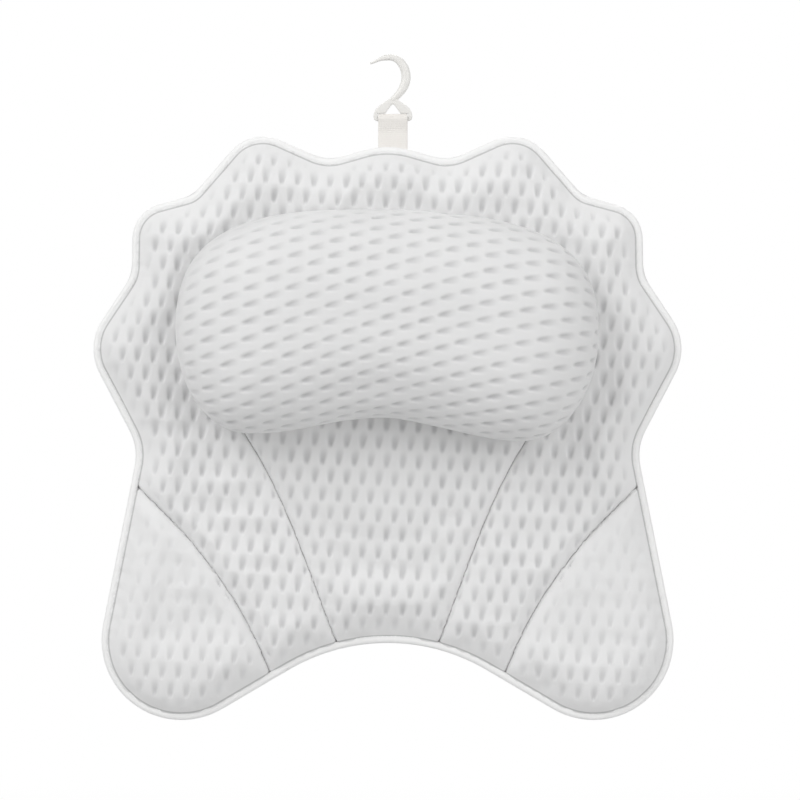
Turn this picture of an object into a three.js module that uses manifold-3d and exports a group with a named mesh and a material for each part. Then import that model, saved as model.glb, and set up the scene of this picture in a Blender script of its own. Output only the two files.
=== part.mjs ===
// A bath pillow: a scalloped quilted pad with a kidney-shaped head pillow on its front, a webbing loop
// with a moulded hook at its top edge, and seven suction cups behind it.
//
// Millimetres. +Z is up, towards the hook, and the pillow faces -Y. The suction cups' rims lie in the
// plane y = 0, which is the wall. Depths are measured forwards from that wall, so y is minus the depth.
// Left and right are as seen from the front. Flat outlines are Vector2 points of x and z.
import * as THREE from "three";
import Module from "manifold-3d";

const wasm = await Module();
wasm.setup();

// Sizes of the pad
const padWidth = 420;
const padHeight = 417;
const frontClothThickness = 2;
const backClothThickness = 1.2;
const frontCrown = 12;
const backCrown = 7;
const frontRollWidth = 28;
const backRollWidth = 24;
const coreRollEase = 20;

// Seams: a quilt seam dips the padded front, and at a fold seam the front and the back come together.
// The padding slopes down to a seam over the width named here, on each side.
const quiltSeamGap = 0.4;
const quiltSeamDip = 3.5;
const quiltSeamWidth = 16;
const foldSeamWidth = 22;
const foldAngle = THREE.MathUtils.degToRad(20);

// Binding tape, folded over the flanges at the edge
const bindingWidth = 6;
const tapeThickness = 1.2;
const tapeBend = 1.4;
const flangeMargin = 1.8;

// Head pillow
const headWidth = 295;
const headHeight = 159;
const headThickness = 68;
const headCentreHeight = 75;
const headDrawIn = 10;
const headShoulder = 60;
const headSideRise = 24;
const headTilt = THREE.MathUtils.degToRad(1.6);

// Webbing loop and hook
const webbingWidth = 21;
const webbingThickness = 1.8;
const loopOffset = 3.8;
const loopLength = 18;
const loopTaper = 7;
const hookBarRadius = 2;
const hookLegWidth = 3.4;
const hookEyeHeight = 14;
const hookEyeCorner = 2.4;
const hookBowRadius = 12.2;
const hookBowHeight = 32;
const hookBowOffset = 2.8;
const hookBowWidth = 6.8;
const hookBowStart = THREE.MathUtils.degToRad(152);
const hookBowEnd = THREE.MathUtils.degToRad(-58);
const hookThickness = 4.2;

// Suction cups and their patches
const cupRadius = 21;
const cupRimWidth = 2.2;
const cupHollowDepth = 8.6;
const cupHeight = 11;
const cupNeckRadius = 4;
const cupHeadRadius = 7;
const cupHeadThickness = 3;
const cupHeadBevel = 0.9;
const cupRimThickness = 0.9;
const patchRadius = 14;
const patchThickness = 1.2;

// Fit
const clearance = 0.3;

// Facets, and how fine a place is searched for
const arcStep = THREE.MathUtils.degToRad(30);
const chordStep = 22;
const seamStep = 21;
const headSideSteps = 2;
const headRollSteps = 5;
const loopArcSteps = 8;
const hookSides = 8;
const hookEyeSteps = 11;
const hookBowSteps = 14;
const hookStemSteps = 5;
const cupSegments = 16;
const searchStep = 0.003;
const levelTolerance = 0.03;

// Circles that the outline runs round, up the right-hand side from the neck arch to the top lobe.
// Shares: x of half the pad's width, z of its height, radius of its width. Minus is a valley.
// They are round on a pad whose height is this share of its width, and stretch with any other pad.
const roundHeightShare = 417 / 420;
const outlineCircleShares = [
  { x: 0, z: -0.6988, radius: -0.3317 },
  { x: 0.7005, z: -0.3597, radius: 0.136 },
  { x: 1.0257, z: -0.0429, radius: -0.085 },
  { x: 0.8233, z: 0.1388, radius: 0.0883 },
  { x: 0.9781, z: 0.2815, radius: -0.0545 },
  { x: 0.7467, z: 0.3271, radius: 0.0605 },
  { x: 0.7043, z: 0.435, radius: -0.0374 },
  { x: 0.4233, z: 0.4307, radius: 0.0714 },
  { x: 0.1971, z: 0.5336, radius: -0.0681 },
  { x: 0, z: 0.3391, radius: 0.1445 },
];

// Seams on the right-hand side, as cubic curves, each from the pad's lower edge upwards.
// Shares: x of half the pad's width, z of its height.
const quiltSeamShares = [
  [0.163, -0.378], [0.274, -0.23], [0.352, -0.106], [0.476, -0.015],
  [0.599, 0.073], [0.357, 0.283], [0, 0.283],
];
const foldSeamShares = [
  [0.386, -0.434], [0.462, -0.317], [0.619, -0.201], [0.819, -0.113],
  [0.838, -0.104], [0.857, -0.095], [0.876, -0.085],
];

// Middle lines that the padded panels swell round, in the same shares
const centreSpineShares = [[0, -0.28], [0, 0.1]];
const upperSpineShares = [
  [-0.34, -0.33], [-0.52, -0.12], [-0.72, 0.02], [-0.71, 0.2], [-0.5, 0.33], [-0.22, 0.39],
  [0.22, 0.39], [0.5, 0.33], [0.71, 0.2], [0.72, 0.02], [0.52, -0.12], [0.34, -0.33],
];
const lobeSpineShares = [[0.64, -0.39], [0.68, -0.32], [0.79, -0.19]];
const backSpineShares = [[0, -0.17], [0, 0.22]];

// Right half of the head pillow's outline, from its top to its bottom notch, as cubic curves.
// Shares: x of half its width, z of half its height, from its middle.
const headOutlineShares = [
  [0, 1], [0.76, 1], [1, 0.69], [1, -0.05], [1, -0.59], [0.84, -1], [0.65, -1],
  [0.41, -1], [0.24, -0.845], [0, -0.845],
];
const headSpineShares = [[-0.52, -0.08], [-0.2, 0.06], [0.2, 0.06], [0.52, -0.08]];

// Cup places, in the pad's shares, and the body that each one is on
const cupPlaceShares = {
  top: [0, 0.36],
  upper_left: [-0.6, 0.28],
  upper_right: [0.6, 0.28],
  waist_left: [-0.66, 0],
  waist_right: [0.66, 0],
  lobe_left: [-0.69, -0.36],
  lobe_right: [0.69, -0.36],
};

// Width along the bow from its flared tip to the stem's foot, as shares of its greatest
const bowWidthShares = [0.74, 0.6, 0.72, 0.82, 0.95, 1, 0.86, 0.8];
const stemEaseShare = 0.33;

// The cup's section, as shares of its hollow's radius and depth, and of its own radius and height
const cupHollowShares = [[0, 1], [0.42, 0.93], [0.76, 0.6], [1, 0]];
const cupBellShares = [[0.74, 0.66], [0.42, 0.95]];

// How far in from the flange the rings of a padded surface run, as shares of its roll
const frontRingShares = [0.45, 1.05];
const backRingShares = [0.5, 1.2];
const deepestShare = 0.86;
const ringStepShare = 0.12;
const raySteps = 60;

// Depths that follow from the sizes
const capDepth = cupHeight + patchThickness + 2 * clearance;
const padBackDepth = capDepth + cupHeadThickness + clearance;
const backFlangeDepth = padBackDepth + backCrown;
const frontFlangeDepth = backFlangeDepth + backClothThickness + clearance + frontClothThickness;
const padFrontDepth = frontFlangeDepth + frontCrown;
const flangeInset = tapeThickness + clearance;
const flangeEnd = bindingWidth + flangeMargin;
const flangeMidDepth = (backFlangeDepth + frontFlangeDepth) / 2;
const bindingBackDepth = backFlangeDepth - clearance - tapeThickness;
const bindingFrontDepth = frontFlangeDepth + clearance + tapeThickness;

// Room at a fold: a lobe turns about the flange's middle depth, and what reaches out from there swings
// over by this much. The binding reaches further than the cloth, so its ends are set back.
const foldRoom = (reach) => reach * Math.sin(foldAngle) + clearance;
const foldGap = foldRoom(frontFlangeDepth - flangeMidDepth);
const bindingSetback = (foldRoom(bindingFrontDepth - flangeMidDepth) - foldGap) / 2;

// Plain geometry helpers
const flat = (x, z) => new THREE.Vector2(x, z);
const place = (point, depth) => new THREE.Vector3(point.x, -depth, point.y);
const seenFromFront = (point) => flat(point.x, point.z);
const mirrorPoint = (point) => flat(-point.x, point.y);
const mirrored = (points) => points.map(mirrorPoint).reverse();
const padPoint = ([x, z]) => flat((x * padWidth) / 2, z * padHeight);
const closed = (points) => [...points, points[0]];

function nearestOn(line, point) {
  let best = line[0];
  for (let k = 1; k < line.length; k++) {
    const run = line[k].clone().sub(line[k - 1]);
    const share = point.clone().sub(line[k - 1]).dot(run) / run.lengthSq();
    const foot = line[k - 1].clone().addScaledVector(run, THREE.MathUtils.clamp(share, 0, 1));
    if (foot.distanceTo(point) < best.distanceTo(point)) best = foot;
  }
  return best;
}

const distanceTo = (line, point) => nearestOn(line, point).distanceTo(point);

function facingOut(points, faces) {
  const cross = new THREE.Vector3();
  const swept = ([a, b, c]) => points[a].dot(cross.crossVectors(points[b], points[c]));
  const volume = faces.reduce((sum, face) => sum + swept(face), 0);
  const outward = volume < 0 ? faces.map(([a, b, c]) => [a, c, b]) : faces;
  return new THREE.BufferGeometry().setFromPoints(points).setIndex(outward.flat());
}

function capFaces(contour, offset, forwards) {
  const { area, triangulateShape } = THREE.ShapeUtils;
  const faces = triangulateShape(contour, []);
  const covered = faces.reduce((sum, face) => sum + area(face.map((i) => contour[i])), 0);
  const agrees = Math.sign(covered) === Math.sign(area(contour));
  const order = agrees === forwards ? [0, 1, 2] : [0, 2, 1];
  return faces.map((face) => order.map((corner) => face[corner] + offset));
}

// A closed skin over rings of equally many points, with a cap over the first ring and over the last.
// Each four-sided face is split along its more level diagonal, so flat edges stay flat at corners,
// or along its shorter one where both are as level.
function loft(rings, firstContour, lastContour) {
  const count = rings[0].length;
  const points = rings.flat();
  const faces = [];
  for (let a = 0; a + count < points.length; a++) {
    const b = (a + 1) % count === 0 ? a + 1 - count : a + 1;
    const [c, d] = [b + count, a + count];
    const levelGain = Math.abs(points[b].y - points[d].y) - Math.abs(points[a].y - points[c].y);
    const lengthGain = points[b].distanceTo(points[d]) - points[a].distanceTo(points[c]);
    const splitsAC = Math.abs(levelGain) < levelTolerance ? lengthGain > 0 : levelGain > 0;
    if (splitsAC) faces.push([a, b, c], [a, c, d]);
    else faces.push([a, b, d], [b, c, d]);
  }
  faces.push(...capFaces(firstContour, 0, false));
  faces.push(...capFaces(lastContour, points.length - count, true));
  return facingOut(points, faces);
}

const skin = (rings) => loft(rings, rings[0].map(seenFromFront), rings.at(-1).map(seenFromFront));

function toSolid(geometry) {
  const vertProperties = geometry.attributes.position.array;
  const triVerts = Uint32Array.from(geometry.index.array);
  return new wasm.Manifold(new wasm.Mesh({ numProp: 3, vertProperties, triVerts }));
}

function toGeometry(solid) {
  const mesh = solid.getMesh();
  const geometry = new THREE.BufferGeometry();
  geometry.setAttribute("position", new THREE.BufferAttribute(mesh.vertProperties, 3));
  return geometry.setIndex(new THREE.BufferAttribute(mesh.triVerts, 1));
}

// The outline is a belt round the circles: arcs on the circles, joined by the lines that touch both.
// It is laid out in shares of the pad's width, where the circles are round, and then stretched.
const roundPoint = ([x, z]) => flat(x / 2, z * roundHeightShare);
const stretchUp = padHeight / roundHeightShare;

function beltCircles() {
  const right = outlineCircleShares.map(({ x, z, radius }) => ({ centre: roundPoint([x, z]), radius }));
  const twinned = right.slice(1, -1).reverse();
  const left = twinned.map(({ centre, radius }) => ({ centre: mirrorPoint(centre), radius }));
  return [...right, ...left];
}

function beltLine(from, to) {
  const away = to.centre.clone().sub(from.centre);
  const lean = -Math.asin((to.radius - from.radius) / away.length());
  const along = away.normalize().rotateAround(flat(0, 0), lean);
  const inward = flat(-along.y, along.x);
  return [from, to].map(({ centre, radius }) => centre.clone().addScaledVector(inward, -radius));
}

function beltPath() {
  const circles = beltCircles();
  const path = new THREE.Path();
  circles.forEach((circle, k) => {
    const arrive = beltLine(circles.at(k - 1), circle)[1].sub(circle.centre).angle();
    const leave = beltLine(circle, circles[(k + 1) % circles.length])[0].sub(circle.centre).angle();
    const [across, up] = [padWidth, stretchUp].map((size) => Math.abs(circle.radius) * size);
    const centre = circle.centre.clone().multiply(flat(padWidth, stretchUp));
    path.absellipse(centre.x, centre.y, across, up, arrive, leave, circle.radius < 0, 0);
  });
  return path.closePath();
}

const outline = beltPath();
const outlineLength = outline.getLength();

// Stations on the outline, anticlockwise: a point, the way in from it, and how far along it lies.
function stationAt(run) {
  const share = THREE.MathUtils.euclideanModulo(run / outlineLength, 1);
  const tangent = outline.getTangent(share);
  return { run, point: outline.getPoint(share), inward: flat(-tangent.y, tangent.x) };
}

function outlineRuns() {
  const runs = [];
  let start = 0;
  outline.curves.forEach((curve) => {
    const length = curve.getLength();
    const turn = curve.isEllipseCurve ? length / curve.xRadius : 0;
    const steps = Math.ceil(Math.max(turn / arcStep, length / chordStep));
    for (let k = 0; k < steps; k++) runs.push(start + (length * k) / steps);
    start += length;
  });
  return runs;
}

const allRuns = outlineRuns();
const outlineLine = closed(allRuns.map((run) => stationAt(run).point));
const insetPoint = ({ point, inward }, inset) => point.clone().addScaledVector(inward, inset);

function runNearest(point) {
  const gapTo = (run) => stationAt(run).point.distanceTo(point);
  const nearer = (a, b) => (gapTo(b) < gapTo(a) ? b : a);
  let best = allRuns.reduce(nearer);
  for (let step = chordStep / 2; step > searchStep; step /= 2) {
    best = [best - step, best, best + step].reduce(nearer);
  }
  return best;
}

// The stations from one place on the outline anticlockwise to another, both ends included.
function stretch(from, to) {
  const end = to < from ? to + outlineLength : to;
  const between = [...allRuns, ...allRuns.map((run) => run + outlineLength)];
  const inside = between.filter((run) => run > from + bindingWidth && run < end - bindingWidth);
  return [from, ...inside, end].map(stationAt);
}

const flangeEdge = (from, to) => stretch(from, to).map((station) => insetPoint(station, flangeInset));

// Seams
function cubicPath(points) {
  const path = new THREE.CurvePath();
  for (let k = 0; k + 3 < points.length; k += 3) {
    path.add(new THREE.CubicBezierCurve(...points.slice(k, k + 4)));
  }
  return path;
}

function seamLine(shares, step) {
  const path = cubicPath(shares.map(padPoint));
  return path.getSpacedPoints(Math.round(path.getLength() / step));
}

const quiltSeam = seamLine(quiltSeamShares, seamStep);
const foldSeam = seamLine(foldSeamShares, seamStep);

// The edge of a panel at a seam: the seam moved sideways, with its open ends set on the flange's edge
// and a point of its own where the flange ends.
function seamEdge(line, sideways, isOpenAtTop) {
  const points = line.map((point, k) => {
    const along = (line[k + 1] ?? point).clone().sub(line[k - 1] ?? point).normalize();
    return point.clone().add(flat(along.y, -along.x).multiplyScalar(sideways));
  });
  const runs = (isOpenAtTop ? [0, -1] : [0]).map((k) => runNearest(points.at(k)));
  points.splice(0, 1, ...flangeCrossing(runs[0], points[1]));
  if (isOpenAtTop) points.splice(-1, 1, ...flangeCrossing(runs[1], points.at(-2)).reverse());
  return { points, runs };
}

function flangeCrossing(run, next) {
  const edge = insetPoint(stationAt(run), flangeInset);
  const share = (flangeEnd - flangeInset) / (distanceTo(outlineLine, next) - flangeInset);
  return [edge, edge.clone().lerp(next, share)];
}

const quiltInside = seamEdge(quiltSeam, -quiltSeamGap / 2, false);
const quiltOutside = seamEdge(quiltSeam, quiltSeamGap / 2, false);
const foldInside = seamEdge(foldSeam, -foldGap / 2, true);
const foldOutside = seamEdge(foldSeam, foldGap / 2, true);
const opposite = (run) => runNearest(mirrorPoint(stationAt(run).point));

// An end of a seam's edge: where it lies on the outline, and the two points that set its course there.
const lowEnd = ({ points, runs }) => ({ run: runs[0], course: points.slice(0, 2) });
const highEnd = ({ points, runs }) => ({ run: runs[1], course: points.slice(-2).reverse() });
const across = ({ run, course }) => ({ run: opposite(run), course: course.map(mirrorPoint) });
const padLow = lowEnd(foldInside);
const padHigh = highEnd(foldInside);
const lobeLow = lowEnd(foldOutside);
const lobeHigh = highEnd(foldOutside);

// Depth of the padded front and back: flat on the flange, rolled up to the crown, dipped at seams
const roll = (share) => Math.sin((Math.PI / 2) * THREE.MathUtils.clamp(share, 0, 1));
const bothSides = (line) => [line, mirrored(line)];
const quiltLines = bothSides(quiltSeam);
const foldLines = bothSides(foldSeam);

function dipAt(point, lines, dip, width) {
  return dip * (1 - roll(Math.min(...lines.map((line) => distanceTo(line, point))) / width));
}

function frontDepthAt(point) {
  const rise = roll((distanceTo(outlineLine, point) - flangeEnd) / frontRollWidth);
  const quilt = dipAt(point, quiltLines, quiltSeamDip, quiltSeamWidth);
  const fold = dipAt(point, foldLines, frontCrown, foldSeamWidth);
  return frontFlangeDepth + rise * (frontCrown - Math.max(quilt, fold));
}

function backDepthAt(point, ease = 0) {
  const rise = roll((distanceTo(outlineLine, point) - flangeEnd) / (backRollWidth + ease));
  const fold = dipAt(point, foldLines, backCrown, foldSeamWidth + ease);
  return backFlangeDepth - rise * (backCrown - fold);
}

// Rays run from each point of a loop to the nearest point of the middle line inside it, so rings set
// on them never cross. A ring lies at one inset from the loop, or stops short of the middle line.
function castRays(loop, spine, insetFrom) {
  return loop.map((start) => {
    const end = nearestOn(spine, start);
    const insetAt = insetFrom(start);
    const insets = [];
    for (let k = 0; k <= raySteps; k++) insets.push(insetAt(start.clone().lerp(end, k / raySteps)));
    return { start, end, insets };
  });
}

// On the pad, a ray from the flange's edge measures its inset from the outline, any other from its panel.
function castPadRays(loop, spine) {
  const edge = closed(loop);
  return castRays(loop, spine, (start) => {
    const isOnFlange = distanceTo(outlineLine, start) < flangeInset + clearance;
    return (point) => (isOnFlange ? distanceTo(outlineLine, point) - flangeInset : distanceTo(edge, point));
  });
}

function ringAt(rays, inset, limitShare) {
  return rays.map(({ start, end, insets }) => {
    const past = insets.findIndex((value, k) => k > 0 && value > inset);
    const overshoot = (insets[past] - inset) / (insets[past] - insets[past - 1]);
    const step = past > 0 ? past - overshoot : raySteps;
    return start.clone().lerp(end, inset === 0 ? 0 : Math.min(step / raySteps, limitShare));
  });
}

function ringsAt(rays, insets) {
  const limitShare = (k) => deepestShare - ringStepShare * (insets.length - 1 - k);
  return insets.map((inset, k) => ringAt(rays, inset, limitShare(k)));
}

const rollInsets = (shares, width) => shares.map((share) => flangeEnd - flangeInset + share * width);
const frontRollInsets = rollInsets(frontRingShares, frontRollWidth);
const backRollInsets = rollInsets(backRingShares, backRollWidth);
const flangeInsets = [0, flangeEnd - flangeInset];

// A soft piece between two depths: rings from the middle of its front out to its edge and back behind.
function slab(rings, frontAt, rearAt) {
  const front = rings.map((ring) => ring.map((p) => place(p, frontAt(p)))).reverse();
  const rear = rings.map((ring) => ring.map((p) => place(p, rearAt(p))));
  return skin([...front, ...rear]);
}

function frontPanel(rays) {
  const rings = ringsAt(rays, [...flangeInsets, ...frontRollInsets]);
  return slab(rings, frontDepthAt, (p) => frontDepthAt(p) - frontClothThickness);
}

function backPanel(rays) {
  const rings = ringsAt(rays, [...flangeInsets, ...backRollInsets]);
  return slab(rings, (p) => backDepthAt(p) + backClothThickness, backDepthAt);
}

function paddingCore(rays) {
  const frontAt = (p) => frontDepthAt(p) - frontClothThickness - clearance;
  const rearAt = (p) => backDepthAt(p, coreRollEase) + backClothThickness + clearance;
  return slab(ringsAt(rays, frontRollInsets), frontAt, rearAt);
}

// Loops of the panels, anticlockwise
const [tongueRun] = quiltInside.runs;
const [footRun] = quiltOutside.runs;
const tongueSeam = quiltInside.points.slice(1);
const archSeam = quiltOutside.points.slice(1);
const padSeam = foldInside.points.slice(1, -1);
const lobeSeam = foldOutside.points.slice(1, -1);

function centreLoop() {
  const neck = flangeEdge(opposite(tongueRun), tongueRun);
  return [...neck, ...tongueSeam, ...mirrored(tongueSeam.slice(0, -1))];
}

function upperLoop() {
  const crest = flangeEdge(padHigh.run, opposite(padHigh.run));
  const foot = flangeEdge(footRun, padLow.run);
  const arch = [...archSeam.slice(0, -1), ...mirrored(archSeam)].reverse();
  return [...crest, ...mirrored(padSeam), ...mirrored(foot), ...arch, ...foot, ...padSeam];
}

function backLoop() {
  const crest = flangeEdge(padHigh.run, opposite(padHigh.run));
  const neck = flangeEdge(opposite(padLow.run), padLow.run);
  return [...crest, ...mirrored(padSeam), ...neck, ...padSeam];
}

const lobeLoop = () => [...flangeEdge(lobeLow.run, lobeHigh.run), ...[...lobeSeam].reverse()];

// Binding: a U of tape folded over the edge, with its bends eased
function bindingSection() {
  const rear = bindingBackDepth;
  const front = bindingFrontDepth;
  return [
    [0, rear + tapeBend], [0, front - tapeBend], [tapeBend, front], [bindingWidth, front],
    [bindingWidth, front - tapeThickness], [tapeThickness, front - tapeThickness],
    [tapeThickness, rear + tapeThickness], [bindingWidth, rear + tapeThickness],
    [bindingWidth, rear], [tapeBend, rear],
  ];
}

// An end of the binding is cut along the seam that it meets there, and set back from it.
function seamCut([edge, crossing], setback) {
  const inward = crossing.clone().sub(edge).divideScalar(flangeEnd - flangeInset);
  const onward = flat(inward.y, -inward.x).normalize();
  const point = edge.clone().addScaledVector(inward, -flangeInset).addScaledVector(onward, setback);
  return { point, inward };
}

function binding(start, end) {
  const section = bindingSection();
  const contour = section.map(([inset, depth]) => flat(inset, depth));
  const between = stretch(start.run, end.run).slice(1, -1);
  const [first, last] = [seamCut(start.course, bindingSetback), seamCut(end.course, -bindingSetback)];
  const stations = [first, ...between, last];
  const ring = (station) => section.map(([inset, depth]) => place(insetPoint(station, inset), depth));
  return loft(stations.map(ring), contour, contour);
}

// Head pillow
const headBackDepth = padFrontDepth + clearance;
const headSeamDepth = headBackDepth + backClothThickness + clearance;
const headCrownDepth = headBackDepth + headThickness;
const headSideDepth = headSeamDepth + headSideRise;
const headPoint = ([x, z]) => flat((x * headWidth) / 2, (z * headHeight) / 2);

function headLoop() {
  const half = cubicPath(headOutlineShares.map(headPoint));
  const right = half.getSpacedPoints(Math.round(half.getLength() / chordStep));
  return [...mirrored(right).slice(0, -1), ...right.slice(0, -1)].reverse();
}

const headEdge = headLoop();
const headInset = (point) => distanceTo(closed(headEdge), point);
const headRays = castRays(headEdge, headSpineShares.map(headPoint), () => headInset);

// The pillow's side swells out from its seam, then rolls over a broad shoulder to the crown.
function headRings(inward, seamDepth) {
  const rings = [];
  for (let k = headSideSteps; k > 0; k--) {
    const share = k / headSideSteps;
    const depth = THREE.MathUtils.lerp(headSideDepth, seamDepth, share);
    rings.push(headRing(inward + headDrawIn * share * share, depth, deepestShare));
  }
  for (let k = 0; k <= headRollSteps; k++) {
    const angle = (Math.PI / 2) * (k / headRollSteps);
    const inset = inward + (headShoulder - inward) * (1 - Math.cos(angle));
    const depth = headSideDepth + (headCrownDepth - inward - headSideDepth) * Math.sin(angle);
    rings.push(headRing(inset, depth, deepestShare - (ringStepShare * (headRollSteps - k)) / 2));
  }
  return rings;
}

function headRing(inset, depth, limitShare) {
  return ringAt(headRays, inset, limitShare).map((p) => place(p, depth));
}

function headFront() {
  return skin([...headRings(0, headSeamDepth).reverse(), ...headRings(frontClothThickness, headSeamDepth)]);
}

function headBack() {
  const depths = [headBackDepth, headBackDepth + backClothThickness];
  return skin(depths.map((depth) => headRing(headDrawIn, depth, deepestShare)));
}

const headCore = () => skin(headRings(frontClothThickness + clearance, headSeamDepth));

// Webbing loop: sewn to the top edge, doubled, and open at its fold for the hook's bar. It stands clear
// of the edge's highest place below it.
const loopSides = [loopOffset - webbingWidth / 2, loopOffset, loopOffset + webbingWidth / 2];
const topEdgeStations = loopSides.map((x) => stationAt(runNearest(flat(x, padHeight / 2))));
const topEdgeHeight = Math.max(...topEdgeStations.map(({ point }) => point.y));
const loopEndRadius = webbingThickness;
const loopHingeHeight = topEdgeHeight + clearance + loopEndRadius;
const hookBarHeight = loopHingeHeight + loopLength;
const loopEyeRadius = hookBarRadius + clearance;
const loopFoldRadius = loopEyeRadius + webbingThickness;

function hangingLoop() {
  const lean = Math.asin((loopFoldRadius - loopEndRadius) / loopTaper);
  const shape = new THREE.Shape();
  shape.absarc(0, 0, loopEndRadius, Math.PI, 2 * Math.PI, false);
  shape.lineTo(loopEndRadius, loopLength - loopTaper);
  shape.absarc(0, loopLength, loopFoldRadius, -lean, Math.PI + lean, false);
  shape.lineTo(-loopEndRadius, loopLength - loopTaper);
  shape.holes.push(new THREE.Path().absarc(0, loopLength, loopEyeRadius, 0, 2 * Math.PI, true));
  const settings = { depth: webbingWidth, bevelEnabled: false, curveSegments: loopArcSteps };
  const geometry = new THREE.ExtrudeGeometry(shape, settings);
  geometry.translate(0, 0, -webbingWidth / 2);
  geometry.rotateY(Math.PI / 2).rotateX(Math.PI / 2);
  return geometry.translate(loopOffset, -flangeMidDepth, loopHingeHeight);
}

// Hook: an oval section carried along a flat line. The section is a ring of its width and thickness.
const onCircle = (radius, angle) => flat(radius, 0).rotateAround(flat(0, 0), angle);

function ovalSweep(line, halfWidthAt, halfDepth) {
  const contour = Array.from({ length: hookSides }, (_, i) => onCircle(1, (2 * Math.PI * i) / hookSides));
  const rings = line.map((point, k) => {
    const along = (line[k + 1] ?? point).clone().sub(line[k - 1] ?? point).normalize();
    const sideways = flat(along.y, -along.x).multiplyScalar(halfWidthAt(k / (line.length - 1)));
    return contour.map(({ x, y }) => place(point.clone().addScaledVector(sideways, x), halfDepth * y));
  });
  return loft(rings, contour, contour);
}

// Half of the eye, from its apex down the leg and along the bar to the middle
function hookEyeSide() {
  const side = webbingWidth / 2 + 2 * clearance + hookLegWidth / 2;
  const shoulder = loopFoldRadius + clearance;
  const path = new THREE.Path().moveTo(0, hookEyeHeight);
  path.lineTo(side - hookEyeCorner / 2, shoulder + hookEyeCorner);
  path.quadraticCurveTo(side, shoulder, side, hookEyeCorner);
  path.quadraticCurveTo(side, 0, side - hookEyeCorner, 0).lineTo(0, 0);
  const narrow = Math.min(hookLegWidth / 2, hookBarRadius);
  return ovalSweep(path.getSpacedPoints(hookEyeSteps), () => narrow, hookBarRadius);
}

function bowWidthAt(share) {
  const spot = share * (bowWidthShares.length - 1);
  const k = Math.min(Math.floor(spot), bowWidthShares.length - 2);
  return hookBowWidth * THREE.MathUtils.lerp(bowWidthShares[k], bowWidthShares[k + 1], spot - k);
}

// The bow: a round arc from the flared tip over the top, then a stem that comes back to the eye
function hookBow() {
  const centre = flat(-hookBowOffset, hookBowHeight);
  const arc = Array.from({ length: hookBowSteps + 1 }, (_, k) => {
    const angle = THREE.MathUtils.lerp(hookBowStart, hookBowEnd, k / hookBowSteps);
    return onCircle(hookBowRadius, angle).add(centre);
  });
  const stemTop = arc.at(-1);
  const stemFoot = flat(0, hookEyeHeight - hookLegWidth / 2);
  const onward = onCircle(hookBowRadius * stemEaseShare, hookBowEnd - Math.PI / 2).add(stemTop);
  const above = flat(0, hookLegWidth).add(stemFoot);
  const stem = new THREE.CubicBezierCurve(stemTop, onward, above, stemFoot);
  const line = [...arc, ...stem.getSpacedPoints(hookStemSteps).slice(1)];
  return ovalSweep(line, (share) => bowWidthAt(share) / 2, hookThickness / 2);
}

function hangerHook() {
  const side = toSolid(hookEyeSide());
  const joined = side.add(side.mirror([1, 0, 0])).add(toSolid(hookBow()));
  return toGeometry(joined).translate(loopOffset, -flangeMidDepth, hookBarHeight);
}

// Suction cups: turned about an axis square to the wall, from sections of radius and depth
function turned(section) {
  const profile = section.map(([radius, depth]) => flat(radius, -depth));
  return new THREE.LatheGeometry(profile.reverse(), cupSegments);
}

const sectionOf = (shares, radius, depth) => shares.map(([out, up]) => [out * radius, up * depth]);

function suctionCup() {
  const headEnd = capDepth + cupHeadThickness;
  return turned([
    ...sectionOf(cupHollowShares, cupRadius - cupRimWidth, cupHollowDepth),
    [cupRadius, 0],
    [cupRadius, cupRimThickness],
    ...sectionOf(cupBellShares, cupRadius, cupHeight),
    [cupNeckRadius, cupHeight],
    [cupNeckRadius, capDepth],
    [cupHeadRadius, capDepth],
    [cupHeadRadius, headEnd - cupHeadBevel],
    [cupHeadRadius - cupHeadBevel, headEnd],
    [0, headEnd],
  ]);
}

// A patch: a disc sewn flat to the back, raised over the cup's head, with a hole for the neck
function cupPatch() {
  const hole = cupNeckRadius + clearance;
  const raised = cupHeadRadius + clearance;
  const foot = Math.min(raised + cupHeadThickness, patchRadius - patchThickness);
  const back = padBackDepth - clearance;
  const top = capDepth - clearance;
  return turned([
    [hole, top - patchThickness], [raised, top - patchThickness], [foot, back - patchThickness],
    [patchRadius, back - patchThickness], [patchRadius, back], [foot, back], [raised, top], [hole, top],
    [hole, top - patchThickness],
  ]);
}

// Finishes
const finishes = {
  airMesh: { color: 0xe9eaec, roughness: 0.85, metalness: 0 },
  backMesh: { color: 0xe2e3e5, roughness: 0.9, metalness: 0 },
  padding: { color: 0xf4f1ea, roughness: 1, metalness: 0 },
  satinTape: { color: 0xf6f6f4, roughness: 0.5, metalness: 0 },
  webbing: { color: 0xece9e2, roughness: 0.8, metalness: 0 },
  patchCloth: { color: 0xe6e6e6, roughness: 0.9, metalness: 0 },
  hookPlastic: { color: 0xf3f0ea, roughness: 0.25, metalness: 0 },
  softVinyl: { color: 0xdfe6e8, roughness: 0.15, metalness: 0 },
};

const group = new THREE.Group();
group.name = "bath_pillow";

function add(name, geometry, finish, parent = group) {
  const mesh = new THREE.Mesh(geometry, new THREE.MeshStandardMaterial(finishes[finish]));
  mesh.name = name;
  parent.add(mesh);
  return mesh;
}

const padLine = (shares) => shares.map(padPoint);
const centreRays = castPadRays(centreLoop(), padLine(centreSpineShares));
const upperRays = castPadRays(upperLoop(), padLine(upperSpineShares));
const backRays = castPadRays(backLoop(), padLine(backSpineShares));
const rightLobe = lobeLoop();
const rightLobeSpine = padLine(lobeSpineShares);
const lobeRays = {
  left: castPadRays(mirrored(rightLobe), mirrored(rightLobeSpine)),
  right: castPadRays(rightLobe, rightLobeSpine),
};
const lobeBindings = {
  left: binding(across(lobeHigh), across(lobeLow)),
  right: binding(lobeLow, lobeHigh),
};

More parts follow.
